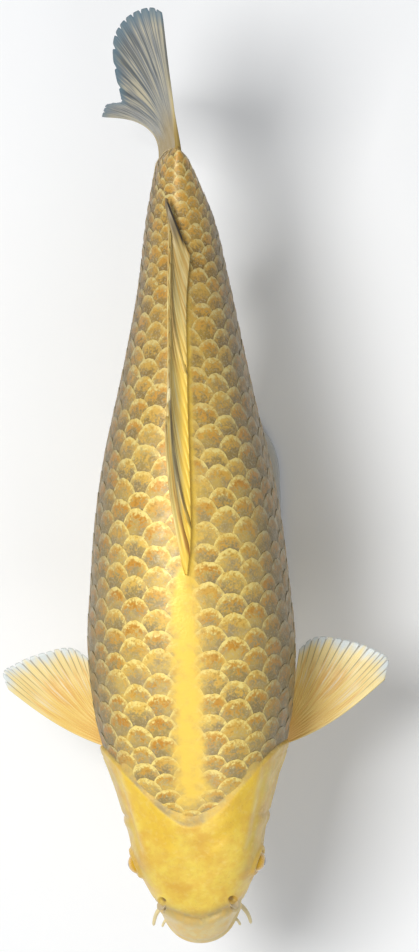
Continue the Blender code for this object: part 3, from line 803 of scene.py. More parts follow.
class Look:
    """A Principled material whose colours are laid one over another."""

    def __init__(self, name, **fixed):
        self.material = bpy.data.materials.new(name)
        self.material.use_nodes = True
        self.tree = self.material.node_tree
        self.shader = self.tree.nodes["Principled BSDF"]
        self.place = self.node("TexCoord", {}, "Object")
        self.colour = None
        for socket, value in fixed.items():
            self.shader.inputs[socket.replace("_", " ")].default_value = value

    def node(self, kind, inputs, pick=0, **settings):
        """Adds a node and gives one of its outputs, or all of them in a list."""
        made = self.tree.nodes.new("ShaderNode" + kind)
        for key, value in settings.items():
            setattr(made, key, value)
        for socket, value in inputs.items():
            self.feed(made.inputs[socket], value)
        if pick == "all":
            return [Value(self, socket) for socket in made.outputs]
        return Value(self, made.outputs[pick])

    def feed(self, socket, value):
        """Gives an input a number, a colour or what another node works out."""
        if isinstance(value, Value):
            self.tree.links.new(value.socket, socket)
        elif isinstance(value, tuple) and socket.type == "RGBA":
            socket.default_value = (*value, 1.0)
        else:
            socket.default_value = value

    def math(self, operation, first, second=0.0):
        return self.node("Math", {0: first, 1: second}, operation=operation)

    def mix(self, share, first, second):
        """first where share is 0, second where it is 1."""
        return self.node("Mix", {0: share, 6: first, 7: second}, 2, data_type="RGBA")

    def lay(self, share, colour):
        """Covers what is there with a colour, as far as share says."""
        self.colour = self.mix(share, self.colour, colour)

    def noise(self, scale, detail=3.0, stretch=(1.0, 1.0, 1.0), vector=None):
        moved = self.node("Mapping", {"Vector": vector or self.place, "Scale": stretch})
        return self.node("TexNoise", {"Vector": moved, "Scale": scale, "Detail": detail})

    def worn(self, scale, low, high):
        """A roughness that wanders between low and high."""
        return self.noise(scale).span(0.3, 0.7, low, high)

    def values(self, name):
        """The three numbers of a stored vector."""
        stored = self.node("Attribute", {}, "Vector", attribute_name=name)
        return self.node("SeparateXYZ", {0: stored}, "all")

    def rearward(self, most):
        """Nought as far as the dorsal fin, rising to most over the tail stalk."""
        return self.node("SeparateXYZ", {0: self.place}, "Y").span(0.0, 0.24, 0.0, most)

    def bump(self, height, strength, depth, **under):
        return self.node("Bump", {"Height": height, "Strength": strength, "Distance": depth, **under})

    def finish(self, roughness=None, normal=None):
        for name, value in (("Base Color", self.colour), ("Roughness", roughness), ("Normal", normal)):
            if value:
                self.feed(self.shader.inputs[name], value)
        return self.material


def lay_markings(look):
    """The fish's markings, which skin and scales draw from the same vectors; the stripe carries a
    painted highlight, and the flanks and deep hollows carry painted shade.
    """
    head, stripe_highlight, flank_shade = look.values("mark_upper")
    belly, lip, crevice_shade = look.values("mark_lower")
    look.colour = look.mix(look.noise(75.0, 5.0).span(0.35, 0.66), BACK_GREY, BACK_GOLD)
    look.lay(look.rearward(0.75), BACK_UMBER)
    # grey-olive flanks, with painted shade on the sides
    look.lay(flank_shade * 0.92, FLANK_GREY_SHADE)
    look.lay(belly, BELLY_CREAM)
    crown = look.mix(look.noise(55.0, 6.0).span(0.38, 0.74), HEAD_GOLD, HEAD_TAN)
    look.lay(head, look.mix(belly * 0.8, crown, BELLY_CREAM))
    look.lay(lip * 0.8, LIP_TAN)
    uneven = (look.noise(150.0, 6.0) - 0.5) * 0.9
    soft_stripe_highlight = (stripe_highlight + uneven).span(0.0, 1.1) * stripe_highlight.span(0.0, 0.30)
    # the stripe's yellow, with a painted highlight of the lit ridge
    look.lay(soft_stripe_highlight, STRIPE_GOLD_HIGHLIGHT)
    # painted shade in the deep hollows
    look.lay(crevice_shade, CREVICE_SHADE)
    return soft_stripe_highlight, flank_shade, belly


def skin_look():
    look = Look("fish_skin", Metallic=0.12, Roughness=0.42, Coat_Weight=0.22, Coat_Roughness=0.2)
    lay_markings(look)
    glow, groove, cheek_shade = look.values("mark_head")
    look.lay(glow * 0.85, HEAD_GLOW)
    # olive cheeks, with painted shade on the head's sides
    look.lay(cheek_shade * look.noise(40.0).span(0.3, 0.7, 0.35, 0.60), CHEEK_OLIVE)
    # painted shade in the snout's groove
    look.lay(groove * 0.75, GROOVE_SHADE_TAN)
    look.lay(look.noise(170.0, 6.0, (1.0, 0.7, 1.0)).span(0.42, 0.62, 0.0, 0.35), HEAD_TAN)
    look.lay(look.noise(240.0, 5.0).span(0.50, 0.72, 0.0, 0.22), SCALE_RIM)
    look.lay(look.noise(620.0).span(0.58, 0.72, 0.0, 0.14), CHEEK_OLIVE)
    pores = look.node("TexVoronoi", {"Vector": look.place, "Scale": 700.0}, "Distance")
    pitted = look.bump(pores, 0.25, 0.0003)
    return look.finish(look.worn(90.0, 0.34, 0.50),
                       look.bump(look.noise(190.0, 5.0), 0.5, 0.0008, Normal=pitted))


def scale_look():
    """Each scale: a dull grained root darkened with painted shade behind the rim ahead, a golden cap
    with orange in it and a broken pale rim; caps and rims darken on the flanks with painted shade.
    """
    look = Look("fish_scales", Metallic=0.12, Roughness=0.48, Coat_Weight=0.08, Coat_Roughness=0.30)
    stripe_highlight, flank_shade, belly = lay_markings(look)
    plain = look.colour
    along, edge, across = look.values("plate")
    shade, warmth, _ = look.values("chance")
    grain = look.noise(560.0, 5.0)
    rough = (grain - 0.5) * 1.1 + (look.noise(190.0) - 0.5) * 1.1
    ragged = along + rough
    inner = look.math("ABSOLUTE", across).span(1.0, 0.45)
    cap = ragged.span(0.52, 1.0) * inner
    duller = look.math("MAXIMUM", flank_shade * 0.3, look.rearward(0.45))
    orange = ragged.span(0.54, 0.88) * edge.span(0.02, 0.16) * (1.0 - duller) * inner
    orange = orange * warmth.span(0.0, 1.0, 0.15, 0.95)
    umber = look.noise(380.0, 4.0).span(0.50, 0.66, 0.0, 0.45) * cap
    # painted shade at each scale's root, just behind the rim of the scale ahead
    root = ragged.span(0.86, 0.50) * shade.span(0.0, 1.0, 0.25, 0.75)
    silver = look.noise(640.0).span(0.50, 0.66) * ragged.span(0.85, 0.50, 0.0, 0.40)
    rim = (edge + rough * 0.5).span(0.19, 0.02) * along.span(0.50, 0.72)
    rim = rim * look.noise(260.0, 2.0).span(0.34, 0.60, 0.35, 1.0)
    # caps and rims go darker on the flanks as painted shade, and towards the tail
    darker = look.math("MAXIMUM", flank_shade, look.rearward(0.6))
    for share, colour in ((cap, look.mix(darker, CAP_GOLD, CAP_FLANK_SHADE)),
                          (orange, CAP_ORANGE),
                          (umber, CAP_UMBER),
                          # the root's painted shade, olive turning umber towards the tail
                          (root, look.mix(look.rearward(1.0), ROOT_SHADE_OLIVE, ROOT_SHADE_UMBER)),
                          (silver, ROOT_SILVER),
                          (rim, look.mix(darker, SCALE_RIM, RIM_FLANK_SHADE)),
                          (flank_shade * 0.35, FLANK_GREY_SHADE),
                          (belly * 0.80, BELLY_CREAM)):
        look.lay(share, colour)
    # in the stripe the scales take the skin's colour, painted highlight and all
    look.colour = look.mix(1.0 - stripe_highlight, plain, look.colour)
    return look.finish(look.worn(120.0, 0.40, 0.58), look.bump(grain, 0.45, 0.0005))


class FinLook(Look):
    """A look for a blade; the rays run along, and gap is 1 between their bundles."""

    def __init__(self, name, roughness, coat_roughness):
        super().__init__(name, Metallic=0.03, Roughness=roughness, Coat_Weight=0.15,
                         Coat_Roughness=coat_roughness)
        self.across, self.along, self.height = self.values("blade")
        self.gap, self.lead, _ = self.values("gaps")

    def streaks(self, count, length=2.5):
        """Noise drawn out along the rays."""
        spot = self.node("CombineXYZ", {0: self.across, 1: self.along})
        return self.noise(1.0, 4.0, (count, length, 1.0), spot)


def fin_look():
    """Golden, streaked along the rays, with a pale edge and short dark lines running in from it."""
    look = FinLook("fin_paired", 0.45, 0.2)
    along = look.along
    look.colour = look.mix(along.span(0.02, 0.35), FIN_ORANGE, FIN_GOLD)
    look.lay(along.span(0.45, 0.88), FIN_CREAM)
    look.lay(look.streaks(22.0).span(0.46, 0.66, 0.0, 0.75) * along.span(0.97, 0.70), FIN_ORANGE)
    look.lay(look.streaks(55.0).span(0.52, 0.68, 0.0, 0.7) * along.span(0.25, 0.65), FIN_PALE)
    look.lay(look.height.span(0.5, 0.1, 0.0, 0.22), FIN_ORANGE)
    edge = along + (look.streaks(15.0, 0.1) * 0.35 - 0.175)
    look.lay(edge.span(0.86, 1.0), FIN_RIM)
    look.lay(look.gap.span(0.25, 0.9) * edge.span(0.60, 0.86, 0.0, 0.65), FIN_DARK)
    look.lay(look.lead.span(0.035, 0.01, 0.0, 0.7), FIN_CREAM)
    joints = look.math("SINE", along * 260.0)
    return look.finish(look.worn(120.0, 0.38, 0.52), look.bump(joints, 0.12, 0.0002))


def tail_look():
    """Cream and grey rays with dark streaks between them, an olive root and a teal rim."""
    look = FinLook("fin_tail", 0.45, 0.2)
    along, lead = look.along, look.lead
    look.colour = look.mix(look.streaks(60.0).span(0.42, 0.62), TAIL_GREY, TAIL_RAY)
    look.lay(look.height.span(0.6, 0.1, 0.0, 0.35), TAIL_GREY)
    look.lay(lead.span(0.20, 0.04, 0.0, 0.75) * along.span(0.80, 0.25, 0.30, 1.0), TAIL_CREAM)
    look.lay(along.span(0.42, 0.10, 0.0, 0.95), TAIL_OLIVE)
    streaks = look.streaks(13.0, 0.8).span(0.50, 0.60, 0.0, 0.80) * along.span(0.38, 0.62)
    look.lay(streaks * lead.span(0.05, 0.18), TAIL_DARK)
    look.lay(look.gap.span(0.2, 0.9) * along.span(0.35, 0.7, 0.0, 0.7), TAIL_DARK)
    look.lay(along.span(0.86, 1.0, 0.0, 0.9), TAIL_TEAL)
    return look.finish(look.worn(120.0, 0.38, 0.54))


def dorsal_look():
    """Yellow strands with brown lines of painted shade between them, two deep creases of painted shade,
    a painted highlight on the front leaf, a painted shadow along the folded edge, painted shade over
    the rays' tips and a dark last ray.
    """
    look = FinLook("fin_dorsal", 0.48, 0.25)
    across, along, low, deep = look.across, look.along, look.gap, look.lead
    look.colour = look.mix(across.span(0.35, 0.95), DORSAL_GOLD, DORSAL_OLIVE)
    strands = look.streaks(70.0, 1.5)
    look.lay(strands.span(0.45, 0.62, 0.0, 0.55), CAP_ORANGE)
    look.lay(strands.span(0.50, 0.36, 0.0, 0.60), DORSAL_CREAM)
    look.lay(look.rearward(0.22), DORSAL_REAR)
    # the stripe's yellow and painted highlight run on over the fin's root
    look.lay(along.span(0.34, 0.08) * across.span(0.85, 0.45), STRIPE_GOLD_HIGHLIGHT)
    look.lay(across.span(0.60, 0.95, 0.0, 0.45), BACK_UMBER)
    # painted shade over the rays' tips, dimming the margin that the lamps light up
    look.lay(along.span(0.93, 1.0, 0.0, 0.6), BACK_UMBER)
    # painted highlight on the leaf of the first, folded ray
    leaf_highlight = across.span(0.20, 0.13) * across.span(0.07, 0.10)
    look.lay(leaf_highlight * along.span(0.15, 0.5, 0.0, 0.8), DORSAL_CREAM)
    broken = look.streaks(24.0, 1.5).span(0.40, 0.62, 0.25, 1.0)
    # painted shade in the valleys between the strands
    look.lay(low.span(0.55, 1.0, 0.0, 0.65) * broken * along.span(0.18, 0.48), CREASE_SHADE_BROWN)
    # painted shade in the deep creases
    crease = along.span(0.99, 0.90) * deep.span(0.25, 0.9, 0.0, 0.9) * broken
    look.lay(crease, look.mix(across.span(0.08, 0.12), CREASE_SHADE_ORANGE, CREASE_SHADE_BROWN))
    look.lay(across.span(0.88, 0.95) * along.span(0.30, 0.60) * 0.80, DORSAL_GREY)
    # painted shadow along the fin's folded rear edge
    look.lay(across.span(0.970, 0.99) * along.span(0.15, 0.35), EDGE_SHADOW_BLACK)
    return look.finish(look.worn(120.0, 0.40, 0.55))


def eye_look():
    """A black pupil with a bright ring, a gold iris with fine streaks, and an orange edge."""
    look = Look("eyes", Roughness=0.16, Coat_Weight=1.0, Coat_Roughness=0.03)
    off_axis, round_axis, _ = look.values("eye")
    spot = look.node("CombineXYZ", {0: round_axis * 3.0, 1: off_axis * 0.02})
    look.colour = look.mix(look.noise(6.0, 4.0, vector=spot).span(0.35, 0.65), EYE_AMBER, EYE_GOLD)
    look.lay(off_axis.span(46.0, 62.0), EYE_ORANGE)
    look.lay(off_axis.span(70.0, 90.0), HEAD_GOLD)
    look.lay(off_axis.span(31.0, 27.5), EYE_RING)
    look.lay(off_axis.span(26.5, 24.5), EYE_BLACK)
    return look.finish()


def barbel_look():
    look = Look("barbels", Roughness=0.38, Coat_Weight=0.3, Coat_Roughness=0.15)
    along, _, _ = look.values("along")
    look.colour = look.mix(along.span(0.0, 0.35), LIP_TAN, BARBEL_CREAM)
    look.lay(look.noise(300.0).span(0.45, 0.7, 0.0, 0.5), LIP_TAN)
    return look.finish(look.worn(200.0, 0.32, 0.46), look.bump(look.noise(900.0), 0.3, 0.0003))


def paint_look():
    look = Look("stand_paint", Metallic=0.0, Roughness=0.4, Coat_Weight=0.15, Coat_Roughness=0.25)
    look.colour = look.mix(look.noise(14.0), STAND_PALE, STAND_SHADE)
    return look.finish(look.worn(60.0, 0.36, 0.48), look.bump(look.noise(900.0, 2.0), 0.2, 0.0002))


def steel_look():
    look = Look("stand_steel", Metallic=1.0, Roughness=0.3)
    brushed = look.noise(300.0, 4.0, (1.0, 1.0, 0.02))
    look.colour = look.mix(brushed, STEEL_DARK, STEEL_LIGHT)
    return look.finish(brushed.span(0.3, 0.7, 0.24, 0.42), look.bump(brushed, 0.2, 0.0002))


def rubber_look():
    look = Look("stand_rubber", Roughness=0.6)
    look.colour = look.mix(look.noise(120.0), RUBBER_LIGHT, RUBBER_DARK)
    return look.finish(look.worn(80.0, 0.5, 0.7), look.bump(look.noise(700.0, 2.0), 0.3, 0.0003))


# ---- skin ----

def skin_rings():
    """Distances of the skin's rings: close on the snout and head, wider under the scales."""
    turn = np.linspace(0.0, math.pi / 2, SNOUT_RINGS + 1)[1:]
    snout = NOSE_ROUND * (1.0 - np.cos(turn))
    head = np.linspace(NOSE_ROUND, HEAD_END, HEAD_RINGS + 1)[1:]
    body = np.linspace(HEAD_END, SKIN_END, BODY_RINGS + 1)[1:]
    return np.concatenate((snout, head, body))


def make_skin():
    """Rings of points round the body, from the belly up its left side and down the right.

    A point at the tip of the snout closes it, and one inside the tail fin's root.
    """
    rings = skin_rings()
    turn = np.arange(SKIN_SIDES)[None, :] / SKIN_SIDES
    left = turn < 0.5
    share = np.where(left, 4.0 * turn - 1.0, 3.0 - 4.0 * turn)
    distance = np.repeat(rings[:, None], SKIN_SIDES, axis=1)
    point, normal, angle = on_body(distance, share, np.where(left, 1.0, -1.0))
    depth = relief(distance, angle, point)
    placed = place(point + normal * depth[..., None]).reshape(-1, 3)
    hubs = place(np.array(((0.0, 0.0, NOSE_LEVEL), (0.0, SKIN_END + HUB_GAP, TAIL_ROOT_LEVEL))))
    faces = ring_faces(len(rings), SKIN_SIDES)[:, (0, 3, 2, 1)]
    mesh = mesh_from("fish_skin", np.concatenate((placed, hubs)), faces)
    round_at = faces[:, :1] % SKIN_SIDES + (0, 0, 1, 1)
    set_map(mesh, vectors(round_at / SKIN_SIDES, rings[faces // SKIN_SIDES] / SKIN_END))
    upper, lower = markings(distance, angle, point, depth)
    for label, array in (("mark_upper", upper), ("mark_lower", lower),
                         ("mark_head", head_markings(distance, angle))):
        at_hubs = array[0, :1], array[-1, :1]
        set_vectors(mesh, label, np.concatenate((array.reshape(-1, 3), *at_hubs)))
    close_ends(mesh, len(rings), SKIN_SIDES)
    add_piece(mesh, skin_look(), FLESH)


# ---- scales ----

def rows_to_midline(distance, above):
    """Rows of scales from the side line up to the back, or down to the belly."""
    fewer = np.where(above, ramp(distance, *DORSAL_BASE), ramp(distance, *FEWER_ROWS_BELOW))
    return ROWS_AHEAD + (ROWS_BEHIND - ROWS_AHEAD) * fewer


def scale_places():
    """Distance, share, side and row of every scale: rows along the body, staggered by half."""
    columns = [SCALE_PITCH[0, 0]]
    while columns[-1] < STALK_END:
        columns.append(columns[-1] + 0.5 * float(smooth(SCALE_PITCH, 1, columns[-1])))
    found = []
    for half_step, distance in enumerate(columns):
        for row in range(-int(ROWS_AHEAD), int(ROWS_AHEAD) + 1):
            whole = float(rows_to_midline(distance, row > 0))
            if (row + half_step) % 2 or abs(row) > whole + LAST_ROW_OVER:
                continue
            share = row / whole
            for side in ((1,) if abs(share) > MIDLINE_SHARE else (1, -1)):
                found.append((distance, max(min(share, 1.0), -1.0), side, row))
    return np.array(found)


def make_scales():
    """Four meshes of scales: each side of the fish ahead of and behind the middle."""
    places = scale_places()
    angle = angle_at(places[:, 0], places[:, 1])
    scaled = scaled_area(places[:, 0] + SCALES_BEGIN, degrees_up(angle), gill_edge(angle))
    places = places[scaled > 0.5]
    chance = np.random.default_rng(SCALE_SEED).random((len(places), 6))
    distance, side = places[:, 0], places[:, 2]
    for word, sign in (("left", 1), ("right", -1)):
        for part, these in (("front", distance < SCALES_PART), ("rear", distance >= SCALES_PART)):
            these = these & (side == sign)
            make_scale_piece("scales_%s_%s" % (word, part), places[these], chance[these])


def plate_grid(chance):
    """Places across and along a scale, and its length at each beside that of its middle."""
    across = np.linspace(-1.0, 1.0, PLATE_COLUMNS + 1)[None, :]
    across = 0.5 * across + 0.5 * np.sin(0.5 * np.pi * across)
    along = np.linspace(0.0, 1.0, PLATE_ROWS + 1)[:, None]
    rounded = 1.0 - PLATE_ROUND * (1.0 - np.sqrt(1.0 - (0.94 * across) ** 2))
    phases = math.tau * chance[..., 3:5]
    ragged = 0.016 * np.sin(across * 4.5 + phases[..., 0])
    ragged = ragged + 0.010 * np.sin(across * 14.0 + phases[..., 1])
    return across, along, rounded * (1.0 + ragged * along)


def make_scale_piece(name, places, chance):
    """Thin domed plates that overlap like tiles, with a pore in each of the side line's."""
    distance, share, side, row = places.T[:, :, None, None]
    chance = chance[:, None, None, :]
    across, along, rounded = plate_grid(chance)
    pitch = smooth(SCALE_PITCH, 1, distance)
    size = 1.0 + 0.16 * (chance[..., 0] - 0.5)
    back = along * rounded
    at = distance + PLATE_OVERLAP * pitch * size * back - PLATE_AHEAD * pitch
    past = np.maximum(at - STALK_END, 0.0) / LAST_SCALES
    at = np.minimum(at, STALK_END) + LAST_SCALES * (1.0 - np.exp(-past))
    rows = rows_to_midline(distance, share >= 0)
    skew = 0.22 * (chance[..., 1] - 0.5)
    round_at = share + PLATE_HALF_WIDTH / rows * size * (across + skew * (along - 0.5))
    point, normal, angle = on_body(at, round_at, side)
    depth = root_relief(at, degrees_up(angle), point) - SCALE_BED
    upper, lower = markings(at, angle, point, depth)
    flush = 1.0 - 0.92 * upper[..., 1]
    lift = PLATE_SINK + PLATE_RISE * back * (1.0 + 0.2 * (chance[..., 2] - 0.5))
    lift = lift + PLATE_DOME * (1.0 - across ** 2) * along
    pore = 0.0004 * hump(across, 0.0, 0.10) * window(along, 0.45, 0.6, 0.8, 0.9)
    lift = (lift + (row == 0) * pore) * flush
    lift = depth + lift - HIDDEN_SINK * ramp(at - gill_edge(angle), 0.0, -0.006)
    thickness = PLATE_THICKNESS * (1.0 - 0.4 * ramp(along, 0.75, 1.0)) * flush
    sheets = [place(point + normal * height[..., None]) for height in (lift, lift - thickness)]
    faces = plate_faces(PLATE_ROWS + 1, PLATE_COLUMNS + 1)
    each = 2 * (PLATE_ROWS + 1) * (PLATE_COLUMNS + 1)
    faces = faces[None] + (np.arange(len(places)) * each)[:, None, None]
    faces = np.where(side > 0, faces, faces[..., ::-1]).reshape(-1, 4)
    mesh = mesh_from(name, np.stack(sheets, axis=1), faces)
    mesh.set_sharp_from_angle(angle=PLATE_CORNER)
    rim = np.minimum(1.0 - along, 1.0 - 0.93 * np.abs(across))
    for label, array in (("mark_upper", upper), ("mark_lower", lower),
                         ("plate", vectors(along, rim, across)), ("chance", chance[..., 3:6])):
        array = np.broadcast_to(array, point.shape)
        set_vectors(mesh, label, np.stack((array, array), axis=1))
    half = (places[:, 1].clip(-1.0, 1.0) + 1.0) / 4.0
    root = vectors(np.where(places[:, 2] > 0, half, 1.0 - half), places[:, 0] / SKIN_END)
    local = vectors(across, 2.0 * along - 1.0).reshape(1, -1, 2)
    patches = root[:, None, :] + np.concatenate((local, local), axis=1) * PATCH / 2
    set_map(mesh, patches.reshape(-1, 2)[faces.ravel()])
    add_piece(mesh, bpy.data.materials["fish_scales"])


# ---- fins ----

def ridge_line(distance, column):
    """Points just off the back or the belly, where a fin's root lies."""
    gap = FOLDED_CLEARANCE if column == TOP else -FIN_CLEARANCE
    return vectors(0.0, distance, level(distance, column) + gap)


def median_sheet(across, along, base, rays, curl, column):
    """Points of a fin on the back or belly, not yet placed; across picks the ray.

    A ray leaves its root steeply and then lies down where curl is above 1.
    """
    distance = base[0] + (base[1] - base[0]) * across
    length, rise, lean, root_x = smooth_row(rays, across)
    root = ridge_line(distance, column) + vectors(root_x, 0.0, 0.0)
    ahead, after = ridge_line(distance - SLOPE_STEP, column), ridge_line(distance + SLOPE_STEP, column)
    tangent = unit(after - ahead)
    rise, lean = np.radians(rise)[..., None], np.radians(lean)
    side = vectors(-np.sin(lean), -tangent[..., 2] * np.cos(lean), tangent[..., 1] * np.cos(lean))
    off = np.sin(rise) * (1.0 - (1.0 - along) ** curl)[..., None]
    return root + (tangent * np.cos(rise) * along[..., None] + side * off) * length[..., None]


def along_ray(root, length, start, end, rise, share):
    """Points at shares of curved rays that turn most near their roots; 0 is +Y, 90 is +X."""
    point = root
    climb, flat = np.sin(np.radians(rise)), np.cos(np.radians(rise))
    for k in range(RAY_STEPS):
        turned = np.sin(math.pi / 2 * share * (k + 0.5) / RAY_STEPS)
        heading = np.radians(start + (end - start) * turned)
        step = vectors(flat * np.sin(heading), flat * np.cos(heading), climb)
        point = point + step * (length * share / RAY_STEPS)[..., None]
    return point


def tail_sheet(across, along, low, high):
    """Points of a lobe of the tail fin; its rays begin a little inside the stalk's end."""
    height = low + (high - low) * across
    along = along * (1.0 + TAIL_SUNK) - TAIL_SUNK
    level_of_root = TAIL_ROOT_LEVEL + TAIL_ROOT_HALF * height
    root = place(vectors(0.0, STALK_END + TAIL_ROOT_GAP, level_of_root))
    return along_ray(root, *smooth_row(TAIL_RAYS, height), along)


def paired_sheet(across, along, root, rays, side, growth=0.0, sweep=0.0):
    """Points of a fin that the other side has too, with more growth and sweep at its rear."""
    (front, front_angle), (rear, rear_angle) = root
    distance = front + (rear - front) * across
    angle = np.radians(front_angle + (rear_angle - front_angle) * across)
    base = surface(distance, angle) + outward(distance, angle) * FIN_CLEARANCE
    length, start, end, rise = smooth_row(rays, across)
    more = np.sqrt(across)
    point = along_ray(base, length * (1.0 + growth * more), 90.0 - start - sweep * more,
                      90.0 - end - sweep * more, rise, along)
    return place(point * (side, 1, 1))


def blade_grid(rows, columns):
    """Places along the rays and across them, each from 0 to 1 over a grid."""
    return np.meshgrid(np.linspace(0.0, 1.0, rows), np.linspace(0.0, 1.0, columns), indexing="ij")


def rays_at(across, along, count):
    """Height of branching rays from 0 to 1, and nearness to the gaps between their bundles."""
    phase = across * count
    height = np.abs(np.sin(math.pi * phase)) ** 0.8
    for start, end in FORKS:
        phase = phase * 2.0
        split = ramp(along, start, end)
        height = height * (1.0 - split) + np.abs(np.sin(math.pi * phase)) ** 0.8 * split
    off = np.abs(across * count - np.round(across * count))
    return height, hump(off, 0.0, 0.11)


def add_fin(name, look, sheet, count, rows, thickness, wave, lead=0.0, flip=False):
    """A blade with raised rays that fork towards a scalloped edge; lead is its stout ray's side."""
    along, across = blade_grid(rows, count * RAY_COLUMNS + 1)
    height, gap = rays_at(across, along, count)
    inner = np.minimum(across, 1.0 - across) * count
    notch = FIN_NOTCH * gap * ramp(inner, 0.2, 0.8) * along ** 5
    points = sheet(across, along * (1.0 - notch))
    ripple = wave * np.sin(along * 5.0 + across * 9.0) * along ** 2 * (1.0 - 0.5 * across)
    points = points + grid_normals(points) * ripple[..., None]
    root_thick, membrane, ray = thickness
    from_lead = np.abs(across - lead)
    solid = membrane + ray * height * (1.0 - 0.6 * along) * ramp(along, 0.0, 0.25)
    solid = solid + root_thick * ramp(along, 0.34, 0.0) + LEAD_THICK * hump(from_lead, 0.0, 0.035)
    solid = solid * ramp(along, 1.02, 0.93) ** 0.3
    arrays = points, solid, vectors(across, along, height), vectors(gap, from_lead, 0.0)
    if flip:
        arrays = (array[:, ::-1] for array in arrays)
    points, solid, blade, gaps = arrays
    mesh = blade_mesh(name + "_blade", points, solid, {"blade": blade, "gaps": gaps})
    add_piece(mesh, look, (name,))


def make_fins():
    """Each fin: its points, number of rays, rows, thicknesses (root, web, ray) and ripple."""
    tail, gold = tail_look(), fin_look()
    add_fin("tail_fin_upper", tail, lambda u, v: tail_sheet(u, v, TAIL_FORK, 1.0),
            11, 76, (0.0032, 0.0006, 0.0008), 0.0012, lead=1.0)
    add_fin("tail_fin_lower", tail, lambda u, v: tail_sheet(u, v, -1.0, TAIL_FORK),
            8, 76, (0.0032, 0.0006, 0.0008), 0.0012)
    for word, side in SIDES.items():
        spread = PECTORAL_SPREAD[word]
        add_fin("pectoral_fin_" + word, gold,
                lambda u, v: paired_sheet(u, v, PECTORAL_ROOT, PECTORAL_RAYS, side, *spread),
                15, 72, (0.0040, 0.0005, 0.0008), 0.0014, flip=side < 0)
        add_fin("pelvic_fin_" + word, gold,
                lambda u, v: paired_sheet(u, v, PELVIC_ROOT, PELVIC_RAYS, side),
                9, 52, (0.0030, 0.0005, 0.0008), 0.0010, flip=side < 0)
    add_fin("anal_fin", gold,
            lambda u, v: place(median_sheet(u, v, ANAL_BASE, ANAL_RAYS, ANAL_CURL, BOTTOM)),
            7, 52, (0.0028, 0.0005, 0.0008), 0.0012)


def make_dorsal_fin():
    """Folded along the back: strands lie side by side with creases between them."""
    along, across = blade_grid(DORSAL_ROWS, DORSAL_STRANDS * 10 + 1)
    strand = across * DORSAL_STRANDS
    crest = np.abs(np.sin(math.pi * strand)) ** 0.7
    fine = np.abs(np.sin(math.pi * strand * 3.0)) * ramp(along, 0.25, 0.6)
    notch = 0.05 * (1.0 - crest) * ramp(np.minimum(across, 1.0 - across), 0.0, 0.03) * along ** 4
    curl = DORSAL_CURL + (LAST_RAY_CURL - DORSAL_CURL) * ramp(across, 0.78, 1.0)
    points = median_sheet(across, along * (1.0 - notch), DORSAL_BASE, DORSAL_RAYS, curl, TOP)
    deep = np.zeros_like(across)
    for crease, width in DEEP_CREASES:
        deep = np.maximum(deep, hump(across, crease, width))
    pleat = (PLEAT_HEIGHT * (crest - 0.5) - CREASE_DEPTH * deep) * ramp(along, 0.0, 0.08)
    points = place(points + grid_normals(points) * pleat[..., None])
    solid = 0.0013 + 0.0009 * crest + 0.0003 * fine + 0.0022 * ramp(along, 0.20, 0.0)
    solid = solid * ramp(along, 1.03, 0.90) ** 0.4
    values = {"blade": vectors(across, along, crest), "gaps": vectors(1.0 - crest, deep, 0.0)}
    mesh = blade_mesh("dorsal_fin_blade", points, solid, values)
    add_piece(mesh, dorsal_look(), ("dorsal_fin",))


# ---- eyes, barbels and nostrils ----

def make_eyes():
    """Each eyeball is rings of points round the pupil, over which the cornea bulges."""
    look = eye_look()
    rings = np.linspace(0.0, math.pi, EYE_RINGS + 2)
    turns = np.arange(EYE_SIDES) * math.tau / EYE_SIDES - math.pi
    off_axis = np.append(np.repeat(rings[1:-1], EYE_SIDES), rings[[0, -1]])
    round_axis = np.append(np.tile(turns, EYE_RINGS), (0.0, 0.0))
    flat = np.sin(off_axis)
    ball = vectors(flat * np.cos(round_axis), flat * np.sin(round_axis), np.cos(off_axis))
    ball = ball * EYE_RADIUS * (1.0 + CORNEA * hump(off_axis, 0.0, CORNEA_REACH))[:, None]
    faces = ring_faces(EYE_RINGS, EYE_SIDES)[:, ::-1]
    for word, side in SIDES.items():
        centre = place(np.array((side * EYE_CENTRE[0], *EYE_CENTRE[1:])))
        turn = Vector((0, 0, 1)).rotation_difference(Vector((side, *EYE_AIM))).to_matrix()
        mesh = mesh_from("eyeball_" + word, centre + ball @ np.array(turn).T, faces)
        set_vectors(mesh, "eye", vectors(np.degrees(off_axis), round_axis, 0.0))
        close_ends(mesh, EYE_RINGS, EYE_SIDES)
        add_piece(mesh, look, ("eye_" + word,))


def tube_mesh(name, path, radii):
    """A tube along a path; it narrows to a rounded tip, and both of its ends are open."""
    tangents = unit(np.gradient(path, axis=0))
    across = unit(np.cross(tangents, (0.0, 0.0, 1.0)))
    upward = np.cross(across, tangents)
    turns = (np.arange(TUBE_SIDES) * math.tau / TUBE_SIDES)[:, None]
    ring = np.cos(turns) * across[:, None, :] + np.sin(turns) * upward[:, None, :]
    points = path[:, None, :] + ring * radii[:, None, None]
    mesh = mesh_from(name, points, ring_faces(len(path), TUBE_SIDES)[:, ::-1])
    along = np.repeat(np.linspace(0.0, 1.0, len(path)), TUBE_SIDES)
    set_vectors(mesh, "along", vectors(along, along, along))
    return mesh


